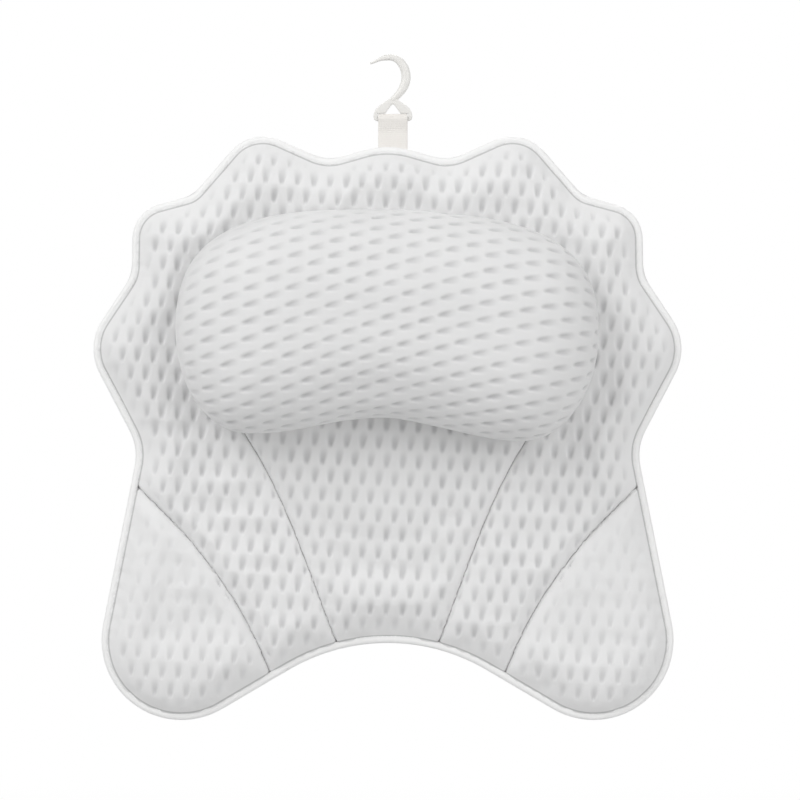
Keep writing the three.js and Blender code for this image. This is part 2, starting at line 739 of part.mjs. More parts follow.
add("centre_front_panel", frontPanel(centreRays), "airMesh");
add("upper_front_panel", frontPanel(upperRays), "airMesh");
add("centre_core", paddingCore(centreRays), "padding");
add("upper_core", paddingCore(upperRays), "padding");
add("back_cover", backPanel(backRays), "backMesh");
add("top_binding", binding(padHigh, across(padHigh)), "satinTape");
add("bottom_binding", binding(across(padLow), padLow), "satinTape");

for (const [side, rays] of Object.entries(lobeRays)) {
  add(`${side}_lobe_front_panel`, frontPanel(rays), "airMesh");
  add(`${side}_lobe_core`, paddingCore(rays), "padding");
  add(`${side}_lobe_back_cover`, backPanel(rays), "backMesh");
  add(`${side}_lobe_binding`, lobeBindings[side], "satinTape");
}

const head = new THREE.Group();
head.position.z = headCentreHeight;
head.rotation.y = headTilt;
group.add(head);
add("head_pillow_front_cover", headFront(), "airMesh", head);
add("head_pillow_back_cover", headBack(), "backMesh", head);
add("head_pillow_core", headCore(), "padding", head);

add("hanging_loop", hangingLoop(), "webbing");
add("hanger_hook", hangerHook(), "hookPlastic");

for (const [spot, shares] of Object.entries(cupPlaceShares)) {
  const at = place(padPoint(shares), 0);
  add(`suction_cup_${spot}`, suctionCup(), "softVinyl").position.copy(at);
  add(`cup_patch_${spot}`, cupPatch(), "patchCloth").position.copy(at);
}

export default group;
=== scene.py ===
# %% [markdown]
# # A bath pillow, dressed around its CAD frame
#
# The CAD model gives every part its place and says how it moves. This script covers that frame with what a
# camera sees: quilts of air mesh, a plump head pillow, satin binding, webbing, a moulded hook and soft
# suction cups. +Z is up, the pillow faces -Y, and the wall behind it is the plane y = 0. Lengths on the
# pillow are written in millimetres and become metres with `* MM`. The studio is laid out in metres.

# %% Load the frame
import bpy
import bmesh
import math
import numpy as np
from mathutils import Matrix, Vector, geometry, kdtree


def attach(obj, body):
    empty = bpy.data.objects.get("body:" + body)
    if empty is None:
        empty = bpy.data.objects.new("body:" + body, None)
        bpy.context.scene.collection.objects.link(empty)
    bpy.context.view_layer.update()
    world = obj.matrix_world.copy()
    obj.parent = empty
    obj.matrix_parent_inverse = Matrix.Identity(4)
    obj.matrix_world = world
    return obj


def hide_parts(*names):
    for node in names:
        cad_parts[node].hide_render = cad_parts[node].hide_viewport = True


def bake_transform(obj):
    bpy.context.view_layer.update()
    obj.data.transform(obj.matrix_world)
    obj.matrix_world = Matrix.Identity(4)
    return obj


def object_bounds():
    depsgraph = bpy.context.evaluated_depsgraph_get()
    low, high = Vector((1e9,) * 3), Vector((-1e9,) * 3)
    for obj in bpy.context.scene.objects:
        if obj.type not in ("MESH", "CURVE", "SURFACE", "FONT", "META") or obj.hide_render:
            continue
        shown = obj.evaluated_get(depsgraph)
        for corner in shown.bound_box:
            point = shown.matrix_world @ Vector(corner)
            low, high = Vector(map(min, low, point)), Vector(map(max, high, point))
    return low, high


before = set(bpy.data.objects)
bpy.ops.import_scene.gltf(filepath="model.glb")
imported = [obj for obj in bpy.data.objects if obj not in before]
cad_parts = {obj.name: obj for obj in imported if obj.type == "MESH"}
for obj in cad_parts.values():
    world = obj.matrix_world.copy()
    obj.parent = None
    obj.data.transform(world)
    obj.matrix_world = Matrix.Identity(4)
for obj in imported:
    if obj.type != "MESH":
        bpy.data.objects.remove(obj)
cad_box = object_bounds()
scene = bpy.context.scene
MM = 0.001
print("CAD box, mm:", [[round(c / MM, 1) for c in corner] for corner in cad_box])

# %% [markdown]
# ## Camera
#
# A photograph taken square on with a long lens shows hardly any of a pillow's sides. A camera two metres
# away does the same. Its lens is worked out from the width that the picture takes in at the pad's front.

# %% Camera
VIEW_DISTANCE = 2.0
PANEL_DEPTH = 0.026
FRAME_WIDTH = 0.5714
FRAME_CENTRE = (0.0089, 0.0214)
SENSOR = 36

lens = bpy.data.cameras.new("camera")
lens.sensor_width = SENSOR
lens.lens = SENSOR * VIEW_DISTANCE / FRAME_WIDTH
camera = bpy.data.objects.new("camera", lens)
camera.location = (FRAME_CENTRE[0], -VIEW_DISTANCE - PANEL_DEPTH, FRAME_CENTRE[1])
camera.rotation_euler = (math.pi / 2, 0, 0)
scene.collection.objects.link(camera)
scene.camera = camera
print("lens:", round(lens.lens, 1), "mm")

# %% [markdown]
# ## Lamps
#
# A sun lamp would draw hard edges in the knit's hollows, and a bare sky would draw none. Large lamps that
# stand well back give soft ones. The strongest is up on the left, a weaker one on the right fills in, and
# the third lights the back. Each is aimed at the origin.

# %% Lamps
def lamp(name, place, size, power):
    light = bpy.data.lights.new(name, "AREA")
    light.size = size
    light.energy = power
    item = bpy.data.objects.new(name, light)
    item.location = place
    item.rotation_euler = (-Vector(place)).to_track_quat("-Z", "Y").to_euler()
    scene.collection.objects.link(item)
    print(name, "gives", power, "W")

lamp("key_lamp", (-1.9, -1.7, 1.8), size=2.2, power=48.5)
lamp("fill_lamp", (1.7, -2.0, 0.8), size=2.2, power=26)
lamp("back_lamp", (0.4, 1.8, 1.6), size=1.2, power=24)

# %% [markdown]
# ## Shader sums written as Python
#
# A material is a graph of nodes. Wrapping each socket in a small class lets a pattern be written as a
# sum, such as `1 - holes * fade`, and every operator then adds its own Math node. Every other node comes
# from one method, `node`, which sets it up and joins its sockets.

# %% Shader terms
class Term:
    def __init__(self, graph, socket):
        self.graph = graph
        self.socket = socket

    def math(self, operation, *others):
        values = dict(enumerate([self, *others]))
        return self.graph.node("ShaderNodeMath", {"operation": operation}, values)

    def __add__(self, other):
        return self.math("ADD", other)

    def __mul__(self, other):
        return self.math("MULTIPLY", other)

    __radd__ = __add__
    __rmul__ = __mul__

    def __truediv__(self, other):
        return self.math("DIVIDE", other)

    def __sub__(self, other):
        return self.math("SUBTRACT", other)

    def __rsub__(self, other):
        return self * -1 + other

    def __abs__(self):
        return self.math("ABSOLUTE")

    def most(self, other):
        return self.math("MAXIMUM", other)

    def wrap(self, half):
        return self.math("WRAP", half, -half)

    def turns(self, pitch):
        return self * (math.tau / (pitch * MM))

    def wave(self):
        return self.math("SINE")

    def ease(self, low, high):
        ends = {"From Min": low, "From Max": high, "Value": self}
        return self.graph.node("ShaderNodeMapRange", {"interpolation_type": "SMOOTHSTEP"}, ends)

print("a term knows:", [name for name in vars(Term) if not name.startswith("_")])

# %% Shader graphs
class Graph:
    def __init__(self, tree):
        self.tree = tree

    def own(self, kind):
        return next(node for node in self.tree.nodes if node.type == kind)

    def feed(self, socket, value):
        if isinstance(value, Term):
            self.tree.links.new(value.socket, socket)
        else:
            socket.default_value = value

    def node(self, kind, settings=(), sockets=(), output=0):
        node = self.tree.nodes.new(kind)
        for name, value in dict(settings).items():
            setattr(node, name, value)
        for name, value in dict(sockets).items():
            self.feed(node.inputs[name], value)
        return Term(self, node.outputs[output])

    def rays(self, *kinds):
        path = self.node("ShaderNodeLightPath").socket.node
        first, *others = [Term(self, path.outputs[f"Is {kind} Ray"]) for kind in kinds]
        for other in others:
            first = first.most(other)
        return first


class Recipe(Graph):
    def __init__(self, name, **constants):
        self.material = bpy.data.materials.new(name)
        self.material.use_nodes = True
        super().__init__(self.material.node_tree)
        self.shader = self.own("BSDF_PRINCIPLED")
        self.set(**constants)

    def set(self, **values):
        for name, value in values.items():
            self.feed(self.shader.inputs[name.replace("_", " ")], value)

    def parts(self, vector):
        split = self.node("ShaderNodeSeparateXYZ", {}, {0: vector}).socket.node
        return [Term(self, output) for output in split.outputs]

    def blend(self, share, first, second):
        sockets = {0: share, 6: first, 7: second}
        return self.node("ShaderNodeMix", {"data_type": "RGBA"}, sockets, 2)

    def place(self):
        return self.node("ShaderNodeTexCoord", {}, {}, "Object")

    def attribute(self, name):
        return self.node("ShaderNodeAttribute", {"attribute_name": name}, {}, "Vector")

    def noise(self, scale, detail=2.0):
        sockets = {"Vector": self.place(), "Scale": scale, "Detail": detail}
        return self.node("ShaderNodeTexNoise", {}, sockets)

    def raise_by(self, height):
        sockets = {"Height": height, "Distance": 1.0, "Strength": 1.0}
        self.set(Normal=self.node("ShaderNodeBump", {}, sockets))

    def done(self):
        print(self.material.name, "has", len(self.tree.nodes), "nodes")
        return self.material

def grey(level, blue=0.0):
    return (level, level, level + blue, 1)

WHITE = grey(1)
print("pure white:", WHITE)

# %% [markdown]
# ## Floor and backdrop
#
# One sheet is both. A plane with a curved corner could be bent with a modifier, but moving the rows of a
# grid along a short profile is plainer: flat first, then a quarter circle, then straight up. The pillow
# hangs clear of it.

# %% Floor
FLOOR_DROP = 0.14
SHEET_NEAR, SHEET_HALF_WIDTH, SHEET_TOP = -4.0, 4, 5.0
CURVE_START, CURVE_RADIUS, CURVE_STEPS = 1.6, 1.2, 12
floor_height = cad_box[0][2] - FLOOR_DROP

def studio_sheet():
    profile = [(SHEET_NEAR, 0.0)]
    for k in range(CURVE_STEPS + 1):
        angle = math.pi / 2 * k / CURVE_STEPS
        profile.append((CURVE_START + CURVE_RADIUS * math.sin(angle), CURVE_RADIUS * (1 - math.cos(angle))))
    profile.append((CURVE_START + CURVE_RADIUS, SHEET_TOP))
    last = len(profile) - 1
    sheet = bmesh.new()
    bmesh.ops.create_grid(sheet, x_segments=1, y_segments=last, size=1)
    for corner in sheet.verts:
        out, up = profile[round((corner.co.y + 1) / 2 * last)]
        corner.co = (corner.co.x * SHEET_HALF_WIDTH, out, floor_height + up)
    bmesh.ops.recalc_face_normals(sheet, faces=sheet.faces)
    return sheet

def add_piece(name, shape):
    open_edges = sum(edge.is_boundary for edge in shape.edges)
    print(f"{name}: {len(shape.faces)} faces, {open_edges} open edges")
    mesh = bpy.data.meshes.new(name)
    shape.to_mesh(mesh)
    shape.free()
    piece = bpy.data.objects.new(name, mesh)
    scene.collection.objects.link(piece)
    for face in mesh.polygons:
        face.use_smooth = True
    return piece

floor = add_piece("floor", studio_sheet())

# %% [markdown]
# ## White behind the pillow
#
# More light would make the backdrop white, and wash out the pillow too. So the paper glows, but only for
# camera, mirror and glass rays, and no extra light falls on the object. Near the pillow the glow is held
# back a little, which keeps the soft shadow. The air does the same: white to the eye, dim as a light.

# %% Paper and air
PAPER = grey(0.62)
NEAR_WHITE = 0.88
WHITE_START, WHITE_END = 0.15, 0.7
AIR_LIGHT = 0.47

paper = Recipe("studio_paper", Base_Color=PAPER, Roughness=0.9)
lit = Term(paper, paper.shader.outputs[0])
glow = paper.node("ShaderNodeEmission", {}, {"Color": WHITE, "Strength": 1.0})
away = paper.parts(paper.place())[1].ease(WHITE_START, WHITE_END)
share = paper.rays("Camera", "Glossy", "Transmission") * (away * (1 - NEAR_WHITE) + NEAR_WHITE)
mixed = paper.node("ShaderNodeMixShader", {}, {0: share, 1: lit, 2: glow})
paper.feed(paper.own("OUTPUT_MATERIAL").inputs[0], mixed)
floor.data.materials.append(paper.done())

world = bpy.data.worlds.new("studio_air")
world.use_nodes = True
scene.world = world
air = Graph(world.node_tree)
background = air.own("BACKGROUND")
looked_at = air.rays("Camera", "Transmission")
strength = air.node("ShaderNodeMapRange", {}, {"Value": looked_at, "To Min": AIR_LIGHT})
air.feed(background.inputs["Strength"], strength)
air.feed(background.inputs["Color"], WHITE)
scene.view_settings.view_transform = "Standard"

# %% [markdown]
# ## The outline
#
# A scalloped edge like this is a belt round a set of circles: it runs outside the ones for the scallops
# and inside the ones for the valleys between them. The circles are the CAD's own, so the cloth ends
# exactly where the frame does. Each has x as a share of half the pad's width, z as a share of its height
# and a radius as a share of the width, which is negative for a valley.

# %% Circles of the edge
PAD_WIDTH = 420
PAD_HEIGHT = 417
OUTLINE_CIRCLES = [
    (0, -0.6988, -0.3317), (0.7005, -0.3597, 0.136), (1.0257, -0.0429, -0.085),
    (0.8233, 0.1388, 0.0883), (0.9781, 0.2815, -0.0545), (0.7467, 0.3271, 0.0605),
    (0.7043, 0.435, -0.0374), (0.4233, 0.4307, 0.0714), (0.1971, 0.5336, -0.0681),
    (0, 0.3391, 0.1445),
]

def pad_point(x, z):
    return Vector((x * PAD_WIDTH / 2, z * PAD_HEIGHT))

print("circles down the right half:", len(OUTLINE_CIRCLES))

# %% Belt round the circles
def touch_points(first, second):
    away = second[0] - first[0]
    lean = -math.asin((second[1] - first[1]) / away.length)
    along = Matrix.Rotation(lean, 2) @ away.normalized()
    inward = Vector((-along.y, along.x))
    return first[0] - inward * first[1], second[0] - inward * second[1]

def arc(centre, radius, arrive, leave):
    start, end = (math.atan2(*(p - centre).yx) for p in (arrive, leave))
    turn = (end - start) % math.tau if radius > 0 else -((start - end) % math.tau)
    steps = max(2, math.ceil(abs(turn * radius)))
    angles = [start + turn * k / steps for k in range(steps + 1)]
    return [centre + abs(radius) * Vector((math.cos(a), math.sin(a))) for a in angles]

def belt():
    right = [(pad_point(x, z), share * PAD_WIDTH) for x, z, share in OUTLINE_CIRCLES]
    left = [(Vector((-c.x, c.y)), r) for c, r in reversed(right[1:-1])]
    ring = right + left
    line = []
    for k, (centre, radius) in enumerate(ring):
        arrive = touch_points(ring[k - 1], ring[k])[1]
        leave = touch_points(ring[k], ring[(k + 1) % len(ring)])[0]
        line += arc(centre, radius, arrive, leave)
    return np.array(line)

def respaced(line, spacing, closed=False):
    if closed:
        line = np.vstack([line, line[:1]])
    runs = np.concatenate([[0], np.cumsum(np.linalg.norm(np.diff(line, axis=0), axis=1))])
    count = max(2, round(runs[-1] / spacing))
    wanted = np.linspace(0, runs[-1], count + 1)
    points = np.column_stack([np.interp(wanted, runs, line[:, k]) for k in range(line.shape[1])])
    return points[:-1] if closed else points

fine_outline = respaced(belt(), 1.0, closed=True)
print("outline:", len(fine_outline), "mm round")

# %% [markdown]
# ## The seams
#
# The quilting seam rises from the neck arch on both sides and meets at the top of the centre quilt. A fold
# seam parts each lower lobe from the rest. Both are smooth curves, so a few Bezier knots hold them, and only
# the right half is written down.

# %% Seam lines
QUILT_SEAM = [
    (0.163, -0.378), (0.274, -0.23), (0.352, -0.106), (0.476, -0.015),
    (0.599, 0.073), (0.357, 0.283), (0, 0.283),
]
FOLD_SEAM = [
    (0.386, -0.434), (0.462, -0.317), (0.619, -0.201), (0.819, -0.113),
    (0.838, -0.104), (0.857, -0.095), (0.876, -0.085),
]
FLIP = np.array([-1, 1])

def curve_points(shares, place, steps=24):
    knots = [place(*share).to_3d() for share in shares]
    line = []
    for k in range(0, len(knots) - 1, 3):
        line += geometry.interpolate_bezier(*knots[k:k + 4], steps)[:-1]
    return np.array([*line, knots[-1]])[:, :2]

half_quilt = curve_points(QUILT_SEAM, pad_point)
quilt_line = np.vstack([half_quilt, (half_quilt * FLIP)[::-1][1:]])
fold_line = curve_points(FOLD_SEAM, pad_point)
print("seams:", len(quilt_line), "points on the quilting seam,", len(fold_line), "on each fold seam")

# %% [markdown]
# ## Distances
#
# How far a point lies from the edge or from a seam decides nearly everything on a quilt: its height, the
# strength of the knit's relief, and where the needle has pulled it in. Measuring to every point of a seam
# would be slow, and a k-d tree finds the nearest one quickly.

# %% Distance helpers
FINDER_STEP = 0.5

def finder(*lines):
    points = np.vstack([respaced(np.asarray(line), FINDER_STEP) for line in lines])
    tree = kdtree.KDTree(len(points))
    for k, (x, z) in enumerate(points):
        tree.insert((x, z, 0), k)
    tree.balance()
    return lambda spots: np.array([tree.find((x, z, 0))[2] for x, z in spots])

from_edge = finder(np.vstack([fine_outline, fine_outline[:1]]))
from_quilt = finder(quilt_line)
from_fold = finder(fold_line, fold_line * FLIP)

def gaps(spots):
    return from_edge(spots), from_quilt(spots), from_fold(spots)

def ease(value):
    share = np.clip(value, 0, 1)
    return share * share * (3 - 2 * share)

def roll(value):
    return np.sin(np.pi / 2 * np.clip(value, 0, 1))

print("middle to edge, quilting seam and fold, mm:", [round(float(gap[0])) for gap in gaps([(0, 0)])])

# %% [markdown]
# ## Flat cloth with seams
#
# The four quilts share seams, so they are cut from one flat sheet. Blender's own triangulator fills the
# outline with even triangles and keeps every seam as a chain of edges, which no modelling operator does.
# Each triangle remembers its panel, so the sheet can be padded as one and taken apart afterwards.

# %% Even triangles
PANELS = ["centre", "upper", "right_lobe", "left_lobe"]
SEAM_ROOM = 0.62

def nearest_index(line, point):
    return int(np.argmin(np.linalg.norm(line - point, axis=1)))

def inside(polygon, spots):
    following = np.roll(polygon, -1, axis=0)
    result = np.zeros(len(spots), bool)
    for (ax, az), (bx, bz) in zip(polygon, following):
        if az != bz:
            crosses = (az > spots[:, 1]) != (bz > spots[:, 1])
            at = (bx - ax) * (spots[:, 1] - az) / (bz - az) + ax
            result ^= crosses & (spots[:, 0] < at)
    return result

def lattice(edge, spacing):
    low, high = edge.min(axis=0), edge.max(axis=0)
    spots = []
    for k, z in enumerate(np.arange(low[1], high[1], spacing * math.sqrt(3) / 2)):
        across = np.arange(low[0] + (k % 2) * spacing / 2, high[0], spacing)
        spots.append(np.column_stack([across, np.full(len(across), z)]))
    spots = np.vstack(spots)
    return spots[inside(edge, spots)]

def triangles(points, loops):
    only_inside, tolerance = 1, 1e-5
    flat = [Vector(p) for p in points]
    spots, _, faces, _, _, owners = geometry.delaunay_2d_cdt(flat, [], loops, only_inside, tolerance)
    return np.array(spots), faces, [owner[0] for owner in owners]

print("panels:", ", ".join(PANELS))

# %% Sheet with its seams
def flat_sheet(spacing):
    edge = respaced(fine_outline, spacing, closed=True)
    points = list(edge)

    def on_edge(end):
        return nearest_index(edge, end), nearest_index(edge, end * FLIP)

    def seam(line, first, last):
        inner = respaced(line, spacing)[1:-1]
        start = len(points)
        points.extend(inner)
        return [first, *range(start, start + len(inner)), last]

    def along(first, last):
        span = (last - first) % len(edge)
        return [(first + k) % len(edge) for k in range(span)]

    quilt_right, quilt_left = on_edge(half_quilt[0])
    low_right, low_left = on_edge(fold_line[0])
    high_right, high_left = on_edge(fold_line[-1])
    quilt = seam(quilt_line, quilt_right, quilt_left)
    right = seam(fold_line, low_right, high_right)
    left = seam(fold_line * FLIP, low_left, high_left)
    upper = along(quilt_right, low_right) + right[:-1] + along(high_right, high_left)
    upper += left[::-1][:-1] + along(low_left, quilt_left) + quilt[::-1][:-1]
    loops = [
        along(quilt_left, quilt_right) + quilt[:-1],
        upper,
        along(low_right, high_right) + right[::-1][:-1],
        along(high_left, low_left) + left[:-1],
    ]
    spots = lattice(edge, spacing)
    clear = np.min(gaps(spots), axis=0) > spacing * SEAM_ROOM
    points.extend(spots[clear])
    return triangles(points, loops)

def sheet_piece(name, spots, faces, panels):
    sheet = bmesh.new()
    corners = [sheet.verts.new((x * MM, 0, z * MM)) for x, z in spots]
    for face, panel in zip(faces, panels):
        sheet.faces.new([corners[k] for k in face]).material_index = panel
    return add_piece(name, sheet)

QUILT_SPACING = 4.2
front = sheet_piece("front_sheet", *flat_sheet(QUILT_SPACING))

# %% [markdown]
# ## Padding
#
# At the edge the cloths lie flat in the binding. From there the front rolls up to a crown, dips at the
# quilting seam, and comes lower still at the two fold seams. That gives the sheet its first shape. A
# quarter sine would swell too slowly beside the binding, so the front rolls up on a fuller curve.

# %% Depths of the front
FLANGE_END = 7.8
TAPE_EDGE = 5.3
BACK_FLANGE = 23.1
FRONT_FLANGE = 26.6
FLANGE_MIDDLE = (BACK_FLANGE + FRONT_FLANGE) / 2
FRONT_CROWN, FRONT_ROLL, FRONT_TUCK = 12, 26, 0.6
QUILT_DIP, QUILT_REACH = 3.5, 16
FOLD_DIP, FOLD_REACH = 6, 12
FULLNESS = 1.7

def full_roll(value):
    share = np.clip(value, 0, 1)
    return (1 - (1 - share) ** FULLNESS) ** (1 / FULLNESS)

def front_depth(spots):
    rise = full_roll((from_edge(spots) - TAPE_EDGE + FRONT_TUCK) / FRONT_ROLL)
    quilt = QUILT_DIP * (1 - roll(from_quilt(spots) / QUILT_REACH))
    fold = FOLD_DIP * (1 - roll(from_fold(spots) / FOLD_REACH))
    return FRONT_FLANGE + rise * (FRONT_CROWN - np.maximum(quilt, fold))

print("a crown is", round(float(front_depth([(0, 60)])[0]), 1), "mm from the wall")

# %% Padding the front
def read_points(mesh, what="co"):
    flat = np.empty(len(mesh.vertices) * 3)
    mesh.vertices.foreach_get(what, flat)
    return flat.reshape(-1, 3)

def write_points(mesh, points):
    mesh.vertices.foreach_set("co", np.ascontiguousarray(points, dtype=float).ravel())
    mesh.update()

def seen_flat(mesh):
    return read_points(mesh)[:, [0, 2]] / MM

def pad_out(piece, depth):
    points = read_points(piece.data)
    points[:, 1] = -depth(seen_flat(piece.data)) * MM
    write_points(piece.data, points)
    print(piece.name, "reaches", round(float(-points[:, 1].min() / MM), 1), "mm from the wall")

pad_out(front, front_depth)

# %% [markdown]
# ## Blowing the cloth up
#
# Padded fabric gets its look from filling that pushes out while stitches hold it back. A short Cloth
# simulation does that: the stitched points are pinned, gravity is off, and pressure swells the rest for
# twenty frames. A cap on how far a point moves keeps the pillow inside its frame.

# %% Cloth simulation
SWELL_FRAMES = 20
CLOTH_STIFFNESS = 12.0
CLOTH_BENDING = 0.4

def swell(piece, held, pressure, slack, cap):
    pins = piece.vertex_groups.new(name="held")
    pins.add([int(k) for k in np.flatnonzero(held)], 1.0, "REPLACE")
    before = read_points(piece.data)
    cloth = piece.modifiers.new("swell", "CLOTH")
    cloth.point_cache.frame_start = 1
    cloth.point_cache.frame_end = SWELL_FRAMES
    settings = cloth.settings
    settings.vertex_group_mass = "held"
    settings.use_pressure = True
    settings.uniform_pressure_force = pressure
    settings.shrink_min = -slack
    settings.tension_stiffness = settings.compression_stiffness = CLOTH_STIFFNESS
    settings.bending_stiffness = CLOTH_BENDING
    settings.effector_weights.gravity = 0
    for number in range(1, SWELL_FRAMES + 1):
        scene.frame_set(number)
    swollen = piece.evaluated_get(bpy.context.evaluated_depsgraph_get())
    moved = read_points(swollen.data) - before
    length = np.linalg.norm(moved, axis=1, keepdims=True)
    moved *= np.minimum(1, cap * MM / np.maximum(length, 1e-9))
    piece.modifiers.remove(cloth)
    piece.vertex_groups.remove(pins)
    write_points(piece.data, before + moved)
    scene.frame_set(1)
    print(piece.name, "swelled by up to", round(float(length.max()) / MM, 2), "mm, capped at", cap)

print("the cloth swells for", SWELL_FRAMES, "frames, unless quick is on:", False)

# %% Swelling the front
def smooth(piece, held, times):
    shape = bmesh.new()
    shape.from_mesh(piece.data)
    shape.verts.ensure_lookup_table()
    loose = [shape.verts[int(k)] for k in np.flatnonzero(~held)]
    for _ in range(times):
        bmesh.ops.smooth_vert(
            shape, verts=loose, factor=0.5, use_axis_x=True, use_axis_y=True, use_axis_z=True)
    shape.to_mesh(piece.data)
    shape.free()

def subdivided(piece, levels=2):
    finer = piece.modifiers.new("finer", "SUBSURF")
    finer.levels = finer.render_levels = levels
    mesh = bpy.data.meshes.new_from_object(piece.evaluated_get(bpy.context.evaluated_depsgraph_get()))
    piece.modifiers.remove(finer)
    piece.data = mesh
    print(piece.name, "subdivided to", len(mesh.vertices), "points")

PINNED_EDGE, PINNED_SEAM = 2, 0.6
edge_gap, quilt_gap, fold_gap = gaps(seen_flat(front.data))
held = (edge_gap < FLANGE_END - PINNED_EDGE) | (quilt_gap < PINNED_SEAM) | (fold_gap < PINNED_SEAM)
swell(front, held, pressure=1.3, slack=0.02, cap=3.5)
smooth(front, held, times=1)
subdivided(front)

# %% [markdown]
# ## Relief of the air mesh
#
# This knit has rows of drop-shaped hollows, broad at one end and narrow at the other, with soft ridges
# between them. One small function says how deep a hollow is at any place on the cloth. It moves the mesh
# here, and the same sum colours it later, so light, colour and shape agree. A hollow's size is its half
# width, its half length and how far it leans.

# %% Knit's hollows
COLUMN_GAP = 11.35
ROW_GAP = 26.3
PAD_HOLLOW = (4.2, 8.4, 0.1)
HEAD_HOLLOW = (3.9, 7.4, 0.22)
HOLLOW_TIP, SIDE_START = 0.5, 0.15
WIDE_AT = 0.4
TIP_EASE, TOP_START, TOP_EASE = 0.5, -0.4, 1.35

def wrapped(value, period):
    return (value + period / 2) % period - period / 2

def one_hollow(across, along, size):
    half_width, half_length, lean = size
    height = wrapped(along, ROW_GAP) / half_length
    off = np.abs(wrapped(across, COLUMN_GAP) - height * half_length * lean)
    width = half_width * (HOLLOW_TIP + (1 - HOLLOW_TIP) * ease((height + 1) / (WIDE_AT + 1)))
    side = 1 - ease((off / width - SIDE_START) / (1 - SIDE_START))
    return side * ease((height + 1) / TIP_EASE) * (1 - ease((height - TOP_START) / TOP_EASE))

def hollows(across, along, size):
    shifted = one_hollow(across + COLUMN_GAP / 2, along + ROW_GAP / 2, size)
    return np.maximum(one_hollow(across, along, size), shifted)

print("a hollow's middle is", round(float(one_hollow(0.0, 0.0, PAD_HOLLOW)), 2), "of the full depth")

# %% [markdown]
# ## Pressing the relief into the quilts
#
# The hollows fade out towards the binding and the seams, where the knit is pulled flat, and on the lobes
# they are weaker altogether. No two hollows are quite alike, so a slow and a quick wave vary their depth.
# A narrow groove along each seam is where the needle went through. Two attributes on the mesh keep the place
# on the cloth and the distance from the seams and the tape for the finish, which paints thin lines of shade
# along them.

# %% Relief on the quilts
RELIEF = 1.45
GROOVE, GROOVE_REACH = 2.0, 0.9
EVENNESS, UNEVENNESS = 0.88, 0.1

def store(mesh, name, columns):
    layer = mesh.attributes.new(name, "FLOAT_VECTOR", "POINT")
    layer.data.foreach_set("vector", np.ascontiguousarray(columns, dtype=float).ravel())

def uneven(across, along):
    slow = np.sin(across * 0.071 + 1.3) * np.sin(along * 0.053 + 0.4)
    quick = np.sin(across * 0.23 + along * 0.11) * np.sin(along * 0.19 - across * 0.07 + 2)
    return EVENNESS + UNEVENNESS * slow + UNEVENNESS * quick

def emboss(piece, cloth, fade, size, seam_gap, tape_gap):
    mesh = piece.data
    fade = fade * uneven(cloth[:, 0], cloth[:, 1])
    groove = GROOVE * np.exp(-(seam_gap / GROOVE_REACH) ** 2)
    sunk = RELIEF * fade * hollows(cloth[:, 0], cloth[:, 1], size) + groove
    write_points(mesh, read_points(mesh) - read_points(mesh, "normal") * sunk[:, None] * MM)
    store(mesh, "cloth", np.column_stack([cloth * MM, fade]))
    store(mesh, "seam", np.column_stack([seam_gap, tape_gap, tape_gap]) * MM)
    print(piece.name, "is pressed in by up to", round(float(sunk.max()), 2), "mm")

print("hollows are up to", RELIEF, "mm deep, and the needle's groove is", GROOVE)

# %% Where the relief fades
FOLD_PLACE = np.array([81.06, -180.978])
FOLD_OUT = np.array([0.8165, -0.57732])
LOBE_MARGIN = 9
EDGE_FLAT, EDGE_FADE = 7, 11
SEAM_FLAT, SEAM_FADE = 0.4, 2.6
LOBE_FLAT, LOBE_FADE = 3, 8
LOBE_RELIEF, LOBE_GAIN = 0.3, 0.5
GAIN_START, GAIN_REACH = 90, 90
PAD_SHIFT, PAD_SLOPE, PAD_LIFT = 0.5, 0.053, 6.3

plane = seen_flat(front.data)
x, z = plane.T
edge_gap, quilt_gap, fold_gap = gaps(plane)
is_lobe = np.column_stack([np.abs(x), z]) @ FOLD_OUT > FOLD_PLACE @ FOLD_OUT - LOBE_MARGIN
lobe_relief = LOBE_RELIEF + LOBE_GAIN * ease((-z - GAIN_START) / GAIN_REACH)
lobe_fade = lobe_relief * ease((fold_gap - LOBE_FLAT) / LOBE_FADE)
fade = ease((edge_gap - EDGE_FLAT) / EDGE_FADE) * ease((quilt_gap - SEAM_FLAT) / SEAM_FADE)
fade *= np.where(is_lobe, lobe_fade, ease((fold_gap - SEAM_FLAT) / SEAM_FADE))
cloth = np.column_stack([x + PAD_SHIFT, z + PAD_SLOPE * x - PAD_LIFT])
emboss(front, cloth, fade, PAD_HOLLOW, np.minimum(quilt_gap, fold_gap), edge_gap - TAPE_EDGE)

# %% [markdown]
# ## Taking the quilts apart
#
# Each quilt is a copy of the sheet with the other panels deleted. Its open border is then extruded back to
# the middle of the flange and filled, so every quilt is a closed body, as a sewn and stuffed panel is.

# %% Quilts
def close_behind(shape, depth):
    rim = [edge for edge in shape.edges if edge.is_boundary]
    grown = bmesh.ops.extrude_edge_only(shape, edges=rim)["geom"]
    for corner in grown:
        if isinstance(corner, bmesh.types.BMVert):
            corner.co.y = -depth * MM
    rim = [edge for edge in shape.edges if edge.is_boundary]
    bmesh.ops.triangle_fill(shape, edges=rim, use_beauty=True)
    bmesh.ops.recalc_face_normals(shape, faces=shape.faces)

def panel_piece(name, source, wanted):
    shape = bmesh.new()
    shape.from_mesh(source.data)
    others = [face for face in shape.faces if face.material_index not in wanted]
    bmesh.ops.delete(shape, geom=others, context="FACES")
    for face in shape.faces:
        face.material_index = 0
    close_behind(shape, FLANGE_MIDDLE)
    return add_piece(name, shape)

quilts = {}
for number, panel in enumerate(PANELS):
    name = f"{panel}_quilt"
    quilts[name] = panel_piece(name, front, [number])
bpy.data.objects.remove(front)

